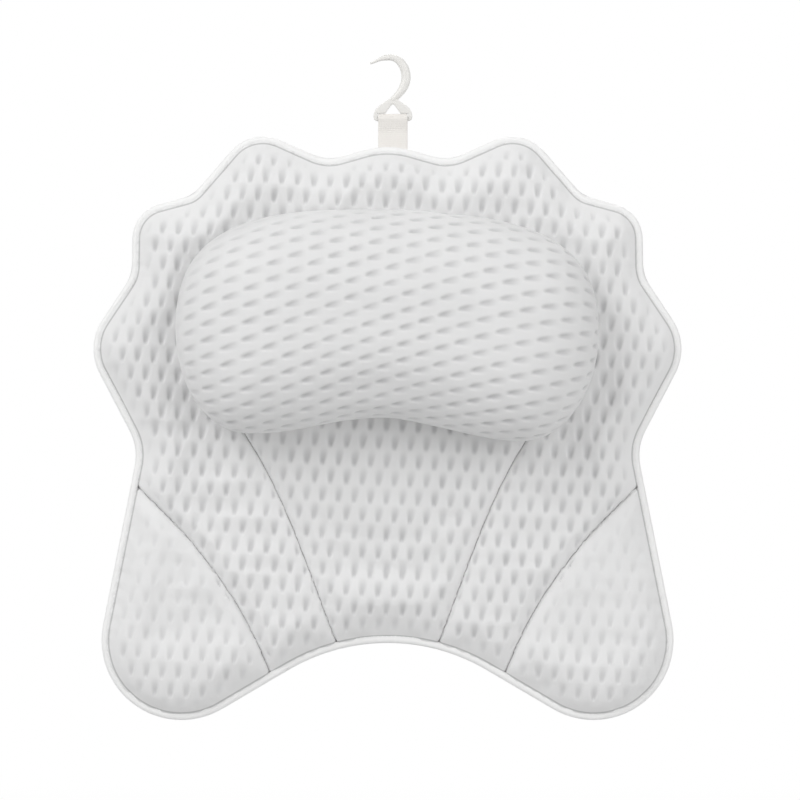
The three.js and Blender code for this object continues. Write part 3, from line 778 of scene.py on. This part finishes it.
# %% [markdown]
# ## Back covers
#
# The back is a thinner, plainer mesh over the same padding, so it comes from the same sheet with wider
# triangles and a lower crown the other way round. One piece backs both the centre and the upper quilt.

# %% Back covers
BACK_SPACING = 8.0
BACK_CROWN, BACK_ROLL, BACK_TUCK = 7, 24, 2
BACK_FOLD_REACH = 22
BACK_PANELS = {"back_cloth": [0, 1], "right_lobe_back_cloth": [2], "left_lobe_back_cloth": [3]}

def back_depth(spots):
    rise = roll((from_edge(spots) - FLANGE_END + BACK_TUCK) / BACK_ROLL)
    fold = BACK_CROWN * (1 - roll(from_fold(spots) / BACK_FOLD_REACH))
    return BACK_FLANGE - rise * (BACK_CROWN - fold)

spots, faces, panels = flat_sheet(BACK_SPACING)
back = sheet_piece("back_sheet", spots, [face[::-1] for face in faces], panels)
pad_out(back, back_depth)
subdivided(back)
backs = {name: panel_piece(name, back, wanted) for name, wanted in BACK_PANELS.items()}
bpy.data.objects.remove(back)

# %% [markdown]
# ## Binding
#
# The edge is finished with satin tape folded over it. A grid stands for the unfolded tape: its long way
# follows the outline and its short way goes round the U. Moving the grid's corners folds it into place.
# Sewn tape is never quite straight, so two small waves ripple its inner edge.

# %% Tape's section
TAPE_BACK, TAPE_FRONT = 21.6, 28.1
WELD = 0.002 * MM

def tape_section(width):
    back, front = TAPE_BACK, TAPE_FRONT
    outer = [(width, back), (2.2, back), (0.9, back + 0.25), (0.2, back + 1.2), (0, back + 2.4)]
    outer += [(0, front - 2.4), (0.2, front - 1.2), (0.9, front - 0.25), (2.2, front)]
    outer += [(width * 0.62, front + 0.1), (width - 1.3, front - 0.25), (width - 0.4, front - 0.1)]
    inner = [(width, front - 0.6), (width - 0.5, front - 1.2), (1.3, front - 1.2), (1.3, back + 1.2)]
    return outer + inner + [(width - 0.5, back + 1.2), (width, back + 0.6)]

def folded_grid(name, columns, rows, place):
    shape = bmesh.new()
    bmesh.ops.create_grid(shape, x_segments=columns, y_segments=rows, size=1)
    cloth = []
    for corner in shape.verts:
        i = round((corner.co.x + 1) / 2 * columns)
        j = round((corner.co.y + 1) / 2 * rows)
        corner.co, spot = place(i, j)
        cloth.append(spot)
    layer = shape.verts.layers.float_vector.new("cloth")
    for corner, spot in zip(shape.verts, cloth):
        corner[layer] = spot
    bmesh.ops.remove_doubles(shape, verts=shape.verts, dist=WELD)
    ends = [edge for edge in shape.edges if edge.is_boundary]
    bmesh.ops.holes_fill(shape, edges=ends, sides=0)
    for edge in ends:
        edge.smooth = False
    bmesh.ops.recalc_face_normals(shape, faces=shape.faces)
    return add_piece(name, shape)

print("points round the tape's section:", len(tape_section(TAPE_EDGE)))

# %% Tape along the outline
RIPPLES = [(0.1, 0.9, 0), (0.08, 2.3, 1)]
TAPE_SPREAD = 0.2
LOOK_AHEAD = 3

def tape(name, first, last):
    start, end = (nearest_index(fine_outline, p) for p in (first, last))
    span = (end - start) % len(fine_outline)
    runs = [(start + k) % len(fine_outline) for k in range(span + 1)]
    ahead = np.roll(fine_outline, -LOOK_AHEAD, axis=0) - np.roll(fine_outline, LOOK_AHEAD, axis=0)
    ahead /= np.linalg.norm(ahead, axis=1, keepdims=True)
    count = len(tape_section(TAPE_EDGE))

    def place(i, j):
        station, (tx, tz) = fine_outline[runs[i]], ahead[runs[i]]
        width = TAPE_EDGE + TAPE_SPREAD * (max(0, tx) - abs(tz))
        inset, depth = tape_section(width)[j % count]
        ripple = sum(height * math.sin(runs[i] * pace + shift) for height, pace, shift in RIPPLES)
        inset += ripple * (inset / width)
        x, z = station + np.array([-tz, tx]) * inset
        return Vector((x, -depth, z)) * MM, Vector((runs[i], inset, 0)) * MM

    return folded_grid(name, span, count, place)

fold_low, fold_high = fold_line[0], fold_line[-1]
TAPE_ENDS = {
    "top_tape": (fold_high, fold_high * FLIP),
    "bottom_tape": (fold_low * FLIP, fold_low),
    "right_lobe_tape": (fold_low, fold_high),
    "left_lobe_tape": (fold_high * FLIP, fold_low * FLIP),
}
tapes = {name: tape(name, *ends) for name, ends in TAPE_ENDS.items()}

# %% [markdown]
# ## Head pillow's cut
#
# The head pillow is one kidney-shaped cloth over a thick core. Its flat cut is wider than the pillow,
# because it has to go up the side and over the shoulder. So each ray from the pillow's middle line gets
# a profile, the profile's length says where the cloth ends, and triangles of even size fill that flat cut.

# %% Outline and profiles
HEAD_WIDTH, HEAD_HEIGHT = 295, 159
HEAD_BACK, HEAD_SEAM, HEAD_SIDE, HEAD_CROWN = 38.9, 40.4, 64.4, 106.9
HEAD_DRAW_IN = 10
HEAD_SHOULDER = 60
HEAD_SPINE = 74
SIDE_STEPS, SHOULDER_STEPS = 16, 40
HEAD_OUTLINE = [
    (0, 1), (0.76, 1), (1, 0.69), (1, -0.05), (1, -0.59), (0.84, -1), (0.65, -1),
    (0.41, -1), (0.24, -0.845), (0, -0.845),
]

def head_point(x, z):
    return Vector((x * HEAD_WIDTH / 2, z * HEAD_HEIGHT / 2))

half_head = curve_points(HEAD_OUTLINE, head_point, 48)
head_line = respaced(np.vstack([half_head[:-1], (half_head * FLIP)[::-1][:-1]]), 1.0, closed=True)[::-1]

def profile_table(reach):
    turn = np.linspace(0, np.pi / 2, SHOULDER_STEPS)
    inset = min(HEAD_SHOULDER, reach) * (1 - np.cos(turn))
    depth = HEAD_SIDE + (HEAD_CROWN - HEAD_SIDE) * np.sin(turn)
    low = np.linspace(1, 0, SIDE_STEPS)[:-1]
    inset = np.concatenate([HEAD_DRAW_IN * low ** 2, inset])
    depth = np.concatenate([HEAD_SIDE + (HEAD_SEAM - HEAD_SIDE) * low, depth])
    out = np.concatenate([reach - inset, [0]])[::-1]
    depth = np.concatenate([depth, [HEAD_CROWN]])[::-1]
    steps = np.hypot(np.diff(out), np.diff(depth))
    return np.concatenate([[0], np.cumsum(steps)]), out, depth

def middle(spots):
    return np.column_stack([np.clip(spots[:, 0], -HEAD_SPINE, HEAD_SPINE), np.zeros(len(spots))])

cloth_run = profile_table(HEAD_SHOULDER)[0][-1]
print("over a reach of", HEAD_SHOULDER, "mm the cloth runs", round(float(cloth_run)), "mm")

# %% Flat cut
HEAD_SPACING = 4.4
CUT_ROOM = 2.6

def cut_edge():
    start = middle(head_line)
    away = head_line - start
    reach = np.linalg.norm(away, axis=1)
    way = away / reach[:, None]
    return np.array([b + w * profile_table(r)[0][-1] for b, w, r in zip(start, way, reach)])

cut_line = respaced(cut_edge(), HEAD_SPACING, closed=True)
near_cut = finder(np.vstack([cut_line, cut_line[:1]]))
spots = lattice(cut_line, HEAD_SPACING)
spots = np.vstack([cut_line, spots[near_cut(spots) > CUT_ROOM]])
flat_head, faces, panels = triangles(spots, [list(range(len(cut_line)))])
head = sheet_piece("head_pillow", flat_head, faces, panels)

# %% [markdown]
# ## Head pillow's shape
#
# A sculpted dome would stretch the knit at its sides. Folding the flat cut over the profiles gives a dome
# on which the knit keeps its real size. Each point goes as far along its own ray's profile as it lies from
# the middle line, and the short simulation then plumps the dome up.

# %% Folding the cut
HEAD_CENTRE = 75
HEAD_TILT = math.radians(1.6)
NEARLY_ZERO, SHORTEST, ON_SIDE = 1e-9, 1e-6, 0.001

def reach_along(start, way):
    best = np.full(len(start), np.inf)
    for a, b in zip(head_line, np.roll(head_line, -1, axis=0)):
        side = b - a
        cross = way[:, 0] * side[1] - way[:, 1] * side[0]
        cross = np.where(np.abs(cross) < NEARLY_ZERO, NEARLY_ZERO, cross)
        gap = a - start
        distance = (gap[:, 0] * side[1] - gap[:, 1] * side[0]) / cross
        share = (gap[:, 0] * way[:, 1] - gap[:, 1] * way[:, 0]) / cross
        hit = (distance > 0) & (share >= -ON_SIDE) & (share <= 1 + ON_SIDE)
        best = np.where(hit & (distance < best), distance, best)
    return best

def fold_over(flat):
    start = middle(flat)
    away = flat - start
    run = np.linalg.norm(away, axis=1)
    on_spine = run < SHORTEST
    way = away / np.maximum(run, SHORTEST)[:, None]
    reach = reach_along(start, np.where(on_spine[:, None], [[0, 1]], way))
    shape = np.empty((len(flat), 3))
    for k in range(len(flat)):
        runs, out, depth = profile_table(reach[k])
        x, z = start[k] + way[k] * np.interp(run[k], runs, out)
        shape[k] = [x, -np.interp(run[k], runs, depth), z]
    return shape

def tilted(points):
    cosine, sine = math.cos(HEAD_TILT), math.sin(HEAD_TILT)
    x, y, z = points.T
    return np.column_stack([x * cosine + z * sine, y, z * cosine - x * sine + HEAD_CENTRE])

write_points(head.data, tilted(fold_over(flat_head)) * MM)
store(head.data, "cloth", np.column_stack([flat_head * MM, np.zeros(len(flat_head))]))
held = np.arange(len(flat_head)) < len(cut_line)
swell(head, held, pressure=1.5, slack=0.01, cap=1.2)
smooth(head, held, times=2)
subdivided(head)

# %% [markdown]
# ## Head pillow's knit
#
# On this cloth the hollows lie on their side. Their rows bow over the dome and their columns fan out, so
# the place on the cloth is the flat cut with a slope, a bend and a fan added. The relief fades out where
# the cloth turns down the sides, further in at the upper left.

# %% Relief on the head pillow
ROW_SLOPE, ROW_BEND, ROW_STRETCH, ROW_SHIFT = -0.053, -0.00056, 0.977, 8.2
COLUMN_STRETCH, COLUMN_PINCH, COLUMN_SHIFT = 1.0255, 456, 1.7
HEAD_LEAN, HEAD_FAN = 0.064, 0.00053
HEAD_RELIEF = 0.85
HEAD_FLAT, HEAD_FADE, LEFT_FADE, LEFT_REACH = 27, 13, 26, 200
NO_SEAM = 20.0

def taken_off(mesh, name):
    layer = mesh.attributes[name]
    values = np.empty(len(mesh.vertices) * 3)
    layer.data.foreach_get("vector", values)
    mesh.attributes.remove(layer)
    return values.reshape(-1, 3)

flat = taken_off(head.data, "cloth")[:, :2] / MM
x, z = flat.T
rise = ROW_SLOPE * x + ROW_BEND * x ** 2
along = x * (COLUMN_STRETCH - (x / COLUMN_PINCH) ** 2) - HEAD_LEAN * z - HEAD_FAN * x * z - COLUMN_SHIFT
cloth = np.column_stack([ROW_STRETCH * z - rise + ROW_SHIFT, along])
leftness = ease((z - x) / LEFT_REACH)
fade = HEAD_RELIEF * ease((near_cut(flat) - HEAD_FLAT) / (HEAD_FADE + LEFT_FADE * leftness))
far = np.full(len(flat), NO_SEAM)
emboss(head, cloth, fade, HEAD_HOLLOW, far, far)

shape = bmesh.new()
shape.from_mesh(head.data)
close_behind(shape, HEAD_BACK)
print("head pillow, closed:", sum(edge.is_boundary for edge in shape.edges), "open edges")
shape.to_mesh(head.data)
shape.free()

# %% [markdown]
# ## Webbing loop
#
# A short strap is doubled over the hook's bar and sewn into the top edge. A grid bent round the bar, with
# rounded long edges, gives its true thickness.

# %% Strap's path and section
LOOP_X, LOOP_WIDTH = 3.8, 21
LOOP_HINGE, BAR_HEIGHT = 204.098, 222.098
STRAP = 1.5
STRAP_INSIDE, STRAP_HALF_GAP = 2.3, 0.85
STRAP_BELOW, STRAP_ABOVE = 4, 9
BEND_ANGLES, BEND_STEPS = (200, -20), 23
SELVEDGE = [(-0.1, 0.45), (0, 0), (-0.1, -0.45)]

def directions(line):
    ahead = np.gradient(line, axis=0)
    return ahead / np.linalg.norm(ahead, axis=1, keepdims=True)

def strap_path():
    bend = STRAP_INSIDE + STRAP / 2
    foot, neck = LOOP_HINGE - STRAP_BELOW, LOOP_HINGE + STRAP_ABOVE
    line = [(-STRAP_HALF_GAP, foot), (-STRAP_HALF_GAP, neck)]
    angles = np.radians(np.linspace(*BEND_ANGLES, BEND_STEPS))
    line += [(bend * math.cos(a), BAR_HEIGHT + bend * math.sin(a)) for a in angles]
    line += [(STRAP_HALF_GAP, neck), (STRAP_HALF_GAP, foot)]
    return respaced(np.array(line), 1.0)

def strap_section():
    half = LOOP_WIDTH / 2
    across = np.linspace(-half + 0.5, half - 0.5, 15)
    section = [(x, STRAP / 2) for x in across] + [(half + x, out) for x, out in SELVEDGE]
    return section + [(x, -STRAP / 2) for x in across[::-1]] + [(-half - x, -out) for x, out in SELVEDGE]

print("the strap's section has", len(strap_section()), "points")

# %% Strap round the bar
strap_line = strap_path()
strap_ahead = directions(strap_line)
strap_round = strap_section()

def strap_place(i, j):
    x, out = strap_round[j % len(strap_round)]
    (depth, z), (td, tz) = strap_line[i], strap_ahead[i]
    place = Vector((LOOP_X + x, -FLANGE_MIDDLE - (depth - tz * out), z + td * -out))
    return place * MM, Vector((x, i, 0)) * MM

strap = folded_grid("webbing_loop", len(strap_line) - 1, len(strap_round), strap_place)

# %% [markdown]
# ## Hook
#
# The hook is one moulding: a bow that thins to its tip, and a triangular eye whose lower bar lies in the
# loop. The bow is a grid wrapped into a tube along a curve, with a width for each part of its length. The
# eye is a flat outline with a window, filled, extruded and bevelled, which leaves the soft rims that a
# mould gives. The bow's foot sinks into the eye's top, and the two are joined into one mesh.

# %% Bow of the hook
HOOK_SIDES = 24
BOW_LINE = [
    (-16.3, 39.8), (-12.6, 40.4), (-9.3, 44.2), (-2, 44.2), (4.7, 44.2), (9.4, 37.4), (9.4, 29.9),
    (9.4, 23.4), (5.2, 18.4), (-0.4, 13.4),
]
BOW_WIDTHS = [1.2, 2.2, 4.2, 4.9, 6.0, 6.5, 6.6, 6.2, 5.2, 4.4]
BOW_HALF_DEPTH, TIP_HALF_DEPTH, DEPTH_GAIN = 2.1, 0.4, 0.4

def hook_point(x, z):
    return Vector((LOOP_X + x, BAR_HEIGHT + z))

bow = respaced(curve_points(BOW_LINE, hook_point), 0.7)
bow_ahead = directions(bow)
bow_widths = np.interp(np.linspace(0, 1, len(bow)), np.linspace(0, 1, len(BOW_WIDTHS)), BOW_WIDTHS)

def bow_place(i, j):
    angle = math.tau * (j % HOOK_SIDES) / HOOK_SIDES
    side = math.cos(angle) * bow_widths[i] / 2
    (x, z), (tx, tz) = bow[i], bow_ahead[i]
    half_depth = min(BOW_HALF_DEPTH, TIP_HALF_DEPTH + bow_widths[i] * DEPTH_GAIN)
    depth = FLANGE_MIDDLE + math.sin(angle) * half_depth
    return Vector((x + tz * side, -depth, z - tx * side)) * MM, Vector((0, 0, 0))

bow_piece = folded_grid("bow", len(bow) - 1, HOOK_SIDES, bow_place)

# %% Eye of the hook
EYE_OUTSIDE = [
    (0, 15.4), (2.4, 14.6), (5.6, 12.4), (9.2, 10.0), (12.0, 7.4), (13.5, 4.6), (13.9, 1.6), (13.4, -0.2),
    (12.2, -1.2), (10.8, -1.4), (0, -1.4),
]
EYE_WINDOW = [(0, 10.9), (1.1, 10.0), (5.5, 4.1), (10.9, 4.05), (10.9, 1.4), (0, 1.4)]
EYE_THICKNESS = 3.4
EYE_BEVEL = 0.7
SHARP = 1.2

def eye_plate():
    shape = bmesh.new()
    front = -FLANGE_MIDDLE + EYE_THICKNESS / 2
    for half in (EYE_OUTSIDE, EYE_WINDOW):
        loop = half + [(-x, z) for x, z in reversed(half[1:-1])]
        places = [Vector((LOOP_X + x, front, BAR_HEIGHT + z)) * MM for x, z in loop]
        corners = [shape.verts.new(place) for place in places]
        for pair in zip(corners, corners[1:] + corners[:1]):
            shape.edges.new(pair)
    bmesh.ops.triangle_fill(shape, edges=shape.edges, use_beauty=True)
    grown = bmesh.ops.extrude_face_region(shape, geom=shape.faces[:])["geom"]
    moved = [corner for corner in grown if isinstance(corner, bmesh.types.BMVert)]
    bmesh.ops.translate(shape, verts=moved, vec=(0, -EYE_THICKNESS * MM, 0))
    bmesh.ops.recalc_face_normals(shape, faces=shape.faces)
    rims = [e for e in shape.edges if len(e.link_faces) == 2 and e.calc_face_angle() > SHARP
            and abs(e.verts[0].co.y - e.verts[1].co.y) < MM]
    bmesh.ops.bevel(shape, geom=rims, offset=EYE_BEVEL * MM, offset_type="OFFSET", segments=4,
                    profile=0.5, material=-1, affect="EDGES", clamp_overlap=True)
    bmesh.ops.recalc_face_normals(shape, faces=shape.faces)
    return shape

moulding = eye_plate()
moulding.from_mesh(bow_piece.data)
bpy.data.objects.remove(bow_piece)
hook = add_piece("moulded_hook", moulding)

# %% [markdown]
# ## Suction cups and patches
#
# Both are turned shapes, so each is a few points of its section, a radius and a depth from the wall, spun
# round an axis square to the wall.

# %% Cups and patches
CUP_PLACES = {
    "top": (0, 0.36), "upper_left": (-0.6, 0.28), "upper_right": (0.6, 0.28),
    "waist_left": (-0.66, 0), "waist_right": (0.66, 0),
    "lobe_left": (-0.69, -0.36), "lobe_right": (0.69, -0.36),
}
CUP_SECTION = [
    (0, 8.6), (4, 8.55), (7.9, 8.0), (11.5, 6.6), (14.3, 5.0), (16.8, 2.6), (18.8, 0.4), (19.6, 0.05),
    (20.6, 0), (21, 0.3), (20.9, 0.9), (18.4, 4.2), (15.5, 7.2), (12.6, 9.2), (8.8, 10.5), (5.2, 10.95),
    (4.2, 11.3), (4, 12), (4.1, 12.6), (4.6, 12.8), (6.6, 12.8), (7, 13.2), (7, 14.8), (6.7, 15.4),
    (6.0, 15.8), (0, 15.8),
]
PATCH_SECTION = [
    (4.4, 12.2), (4.5, 11.4), (7.2, 11.3), (8.2, 11.7), (10.3, 14.4), (11.4, 14.7), (13.4, 14.7),
    (14, 15.2), (13.9, 15.8), (11.0, 15.8), (10.2, 15.6), (7.6, 12.7), (7.2, 12.45), (4.6, 12.5),
]
TURN_STEPS = 64

def turned(name, section, place, closed):
    shape = bmesh.new()
    points = [shape.verts.new((radius * MM, -depth * MM, 0)) for radius, depth in section]
    edges = [shape.edges.new(pair) for pair in zip(points, points[1:])]
    if closed:
        edges.append(shape.edges.new((points[-1], points[0])))
    bmesh.ops.spin(shape, geom=points + edges, cent=(0, 0, 0), axis=(0, 1, 0), angle=math.tau,
                   steps=TURN_STEPS, use_merge=True)
    bmesh.ops.remove_doubles(shape, verts=shape.verts, dist=WELD)
    bmesh.ops.recalc_face_normals(shape, faces=shape.faces)
    bmesh.ops.translate(shape, verts=shape.verts, vec=place)
    return add_piece(name, shape)

cups, patches = {}, {}
for spot, shares in CUP_PLACES.items():
    x, z = pad_point(*shares) * MM
    cups[spot] = turned(f"cup_{spot}_soft", CUP_SECTION, (x, 0, z), closed=False)
    patches[spot] = turned(f"patch_{spot}_cloth", PATCH_SECTION, (x, 0, z), closed=True)

# %% [markdown]
# ## Finish of the air mesh
#
# An image of knitted cloth would carry its own light and shade. This finish is a sum on the place on the
# cloth, which the mesh carries as an attribute: the hollows are darker, partly with the knit's own tone and
# partly with painted shade, fine yarns cross them, and a cloud keeps it from looking printed. Thin dark
# lines of painted shade lie in the seam's groove and along the tape's edge. The head pillow's copy is
# painted darker, as shade.

# %% Air mesh
# The hollows' colour is partly the knit's own darker tone and partly painted shade.
RIDGE, HOLLOW_TONE_AND_SHADE = grey(0.80), grey(0.57, 0.005)
# The head pillow's two colours are darker than the quilts' as painted shade; its hollows' colour is partly
# their own tone and partly painted shade.
HEAD_RIDGE_SHADED, HEAD_HOLLOW_TONE_AND_SHADE = grey(0.76), grey(0.53, 0.005)
# The near-black grey is painted shade for the seams' grooves and the tape's inner edge; the cloud's grey is
# a random tone.
CLOUD_SHADE, SEAM_PAINTED_SHADE = grey(0.66), grey(0.25)
YARN_ACROSS, YARN_ALONG = 0.9, 1.1
PAINTED_SEAM_LINE, PAINTED_TAPE_LINE = (0.1 * MM, 0.55 * MM), (0.2 * MM, 0.9 * MM)
CLOUD_SHARE, YARN_SHARE, SHADE_LINE_SHARE = 0.12, 0.03, 0.5
YARN_BUMP, HOLLOW_BUMP, CLOUD_BUMP = 0.05 * MM, 0.2 * MM, 0.3 * MM

def hollow_term(across, along, size):
    half_width, half_length, lean = size
    height = along.wrap(ROW_GAP * MM / 2) / (half_length * MM)
    off = abs(across.wrap(COLUMN_GAP * MM / 2) - height * (half_length * lean * MM))
    width = (height.ease(-1.0, WIDE_AT) * (1 - HOLLOW_TIP) + HOLLOW_TIP) * (half_width * MM)
    side = 1 - (off / width).ease(SIDE_START, 1.0)
    return side * height.ease(-1.0, TIP_EASE - 1) * (1 - height.ease(TOP_START, TOP_START + TOP_EASE))

def air_mesh(name, ridge, hollow, size):
    mesh = Recipe(name, Roughness=0.85, Sheen_Weight=0.35, Sheen_Roughness=0.5, Specular_IOR_Level=0.3)
    across, along, fade = mesh.parts(mesh.attribute("cloth"))
    shifted = hollow_term(across + COLUMN_GAP * MM / 2, along + ROW_GAP * MM / 2, size)
    holes = hollow_term(across, along, size).most(shifted) * fade
    knit = across.turns(YARN_ACROSS).wave() * along.turns(YARN_ALONG).wave()
    cloud = mesh.noise(40.0, 3.0)
    seam_gap, tape_gap, _ = mesh.parts(mesh.attribute("seam"))
    # Thin lines of painted shade: in each seam's groove, and a painted shadow along the tape's inner edge.
    lines = (1 - seam_gap.ease(*PAINTED_SEAM_LINE)).most(1 - abs(tape_gap).ease(*PAINTED_TAPE_LINE))
    # Hollows take the darker colour here: partly their own tone, partly painted shade.
    hollow_colour_and_shade = mesh.blend(holes, ridge, hollow)
    shade = mesh.blend(cloud.ease(0.3, 0.7) * CLOUD_SHARE + knit * YARN_SHARE, hollow_colour_and_shade, CLOUD_SHADE)
    mesh.set(Base_Color=mesh.blend(lines * SHADE_LINE_SHARE, shade, SEAM_PAINTED_SHADE))
    mesh.raise_by(knit * YARN_BUMP - holes * HOLLOW_BUMP + cloud * CLOUD_BUMP)
    return mesh.done()

quilt_finish = air_mesh("air_mesh_knit", RIDGE, HOLLOW_TONE_AND_SHADE, PAD_HOLLOW)
# The head pillow's copy of the knit is painted darker, as shade.
shaded_head_finish = air_mesh("head_mesh_knit_shaded", HEAD_RIDGE_SHADED, HEAD_HOLLOW_TONE_AND_SHADE, HEAD_HOLLOW)

# %% [markdown]
# ## Finish of the back and the patches
#
# The back is a fine, even mesh, and the patches are woven. Two crossed waves on the object's own
# coordinates do for both, at two pitches. They need no attribute, because neither cloth is shaped much.

# %% Back mesh and patch cloth
BACK_PITCH, PATCH_PITCH = 2.4, 1.2

def plain_knit(name, colour, shade, pitch):
    knit = Recipe(name, Roughness=0.9, Specular_IOR_Level=0.3)
    x, y, z = knit.parts(knit.place())
    rows = x.turns(pitch).wave() * z.turns(pitch).wave()
    cloud = knit.noise(60.0, 3.0)
    knit.set(Base_Color=knit.blend(rows.ease(-1.0, 0.2) * 0.5 + cloud * 0.2, shade, colour))
    knit.raise_by(rows * (0.12 * MM) + cloud * (0.2 * MM))
    return knit.done()

back_finish = plain_knit("back_mesh_knit", grey(0.78), grey(0.54, 0.01), BACK_PITCH)
patch_finish = plain_knit("patch_cloth_weave", grey(0.8), grey(0.6), PATCH_PITCH)

# %% [markdown]
# ## Finish of the tape and the webbing
#
# Satin tape has fine ribs and a low sheen, and one row of stitches runs near its inner edge. Webbing is
# coarser and duller: ribs across it, with the wales between them. Both sums follow the unfolded strip, so
# they turn every corner with it.

# %% Satin tape
SATIN, SATIN_SHADE = grey(0.885, -0.005), grey(0.82)
STITCH_SHADE = grey(0.7)
STITCH_INSET, STITCH_WIDTH = 4.9 * MM, (0.2 * MM, 0.45 * MM)
STITCH_HALF_PITCH, STITCH_END = 1.5 * MM, (0.9 * MM, 1.2 * MM)
SATIN_PITCH = 0.8

def satin():
    tape_mix = Recipe("satin_tape_weave", Roughness=0.42, Sheen_Weight=0.1, Specular_IOR_Level=0.45)
    run, inset, _ = tape_mix.parts(tape_mix.attribute("cloth"))
    ribs = run.turns(SATIN_PITCH).wave()
    stitch = 1 - abs(run.wrap(STITCH_HALF_PITCH)).ease(*STITCH_END)
    line = (1 - abs(inset - STITCH_INSET).ease(*STITCH_WIDTH)) * stitch
    cloud = tape_mix.noise(120.0)
    colour = tape_mix.blend(cloud * 0.25 + ribs * 0.05, SATIN, SATIN_SHADE)
    tape_mix.set(Base_Color=tape_mix.blend(line * 0.4, colour, STITCH_SHADE))
    tape_mix.raise_by(ribs * (0.04 * MM) - line * (0.12 * MM) + cloud * (0.2 * MM))
    return tape_mix.done()

satin_finish = satin()

# %% Webbing
IVORY, IVORY_SHADE = (0.83, 0.805, 0.77, 1), (0.77, 0.745, 0.705, 1)
RIB_PITCH, WALE_PITCH = 1.3, 1.8

def ribbed():
    web = Recipe("webbing_weave", Roughness=0.7, Sheen_Weight=0.1)
    across, along, _ = web.parts(web.attribute("cloth"))
    ribs = along.turns(RIB_PITCH).wave()
    wales = (across.turns(WALE_PITCH) + ribs).wave()
    web.set(Base_Color=web.blend(ribs.ease(-1.0, 1.0) * 0.15, IVORY, IVORY_SHADE))
    web.raise_by(ribs * (0.05 * MM) + wales * (0.03 * MM))
    return web.done()

webbing_finish = ribbed()

# %% [markdown]
# ## Finish of the moulded parts
#
# Hard plastic is smooth and a little glossy, and soft vinyl lets light through. A faint cloud in colour,
# roughness and height is enough to keep either from looking like glass. Both read the object's coordinates.

# %% Hook plastic and soft vinyl
PLASTIC, PLASTIC_SHADE = (0.80, 0.79, 0.765, 1), (0.74, 0.73, 0.70, 1)
VINYL, VINYL_SHADE = (0.86, 0.90, 0.91, 1), (0.80, 0.85, 0.87, 1)

def moulded():
    plastic = Recipe("hook_plastic_gloss", Specular_IOR_Level=0.5)
    cloud = plastic.noise(90.0)
    plastic.set(Base_Color=plastic.blend(cloud * 0.3, PLASTIC, PLASTIC_SHADE))
    plastic.set(Roughness=cloud * 0.1 + 0.3)
    plastic.raise_by(cloud * (0.05 * MM))
    return plastic.done()

def vinyl():
    soft = Recipe("soft_vinyl_clear", IOR=1.45, Transmission_Weight=0.75)
    cloud = soft.noise(70.0)
    soft.set(Base_Color=soft.blend(cloud * 0.4, VINYL, VINYL_SHADE))
    soft.set(Roughness=cloud * 0.12 + 0.12)
    soft.raise_by(cloud * (0.1 * MM))
    return soft.done()

plastic_finish = moulded()
vinyl_finish = vinyl()

# %% [markdown]
# ## Bodies
#
# Last, each piece gets its finish, and the CAD nodes that it stands for are hidden. The pad's pieces, the
# head pillow, the hook, the cups and the patches are attached to the bodies that carry them. The lobe pieces
# and the loop only have their placing baked into their points.

# %% Finishes on the pieces
def finish(piece, material):
    piece.data.materials.clear()
    piece.data.materials.append(material)

for piece in quilts.values():
    finish(piece, quilt_finish)
for piece in backs.values():
    finish(piece, back_finish)
for piece in tapes.values():
    finish(piece, satin_finish)
finish(head, shaded_head_finish)
finish(strap, webbing_finish)
finish(hook, plastic_finish)
for spot in CUP_PLACES:
    finish(cups[spot], vinyl_finish)
    finish(patches[spot], patch_finish)
print("air mesh on", len(quilts), "quilts, satin on", len(tapes), "tapes")

def bend_lobe(piece):
    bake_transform(piece)

for piece in (quilts["centre_quilt"], quilts["upper_quilt"], backs["back_cloth"], head):
    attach(piece, "pad")
for piece in (tapes["top_tape"], tapes["bottom_tape"]):
    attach(piece, "pad")
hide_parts("centre_front_panel", "centre_core")
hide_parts("upper_front_panel", "upper_core")
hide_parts("back_cover")
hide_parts("top_binding")
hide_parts("bottom_binding")
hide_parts("head_pillow_front_cover", "head_pillow_back_cover", "head_pillow_core")
for side in ("left", "right"):
    quilt, cover = quilts[f"{side}_lobe_quilt"], backs[f"{side}_lobe_back_cloth"]
    edge = tapes[f"{side}_lobe_tape"]
    for piece in (quilt, cover, edge):
        bend_lobe(piece)
    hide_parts(f"{side}_lobe_front_panel", f"{side}_lobe_core")
    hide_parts(f"{side}_lobe_back_cover")
    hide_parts(f"{side}_lobe_binding")

# %% Loop, hook and cups
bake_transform(strap)
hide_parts("hanging_loop")
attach(hook, "hook")
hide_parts("hanger_hook")
for spot in CUP_PLACES:
    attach(cups[spot], f"cup_{spot}")
    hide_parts(f"suction_cup_{spot}")
    place = spot.split("_")
    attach(patches[spot], f"{place[1]}_lobe" if place[0] == "lobe" else "pad")
    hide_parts(f"cup_patch_{spot}")
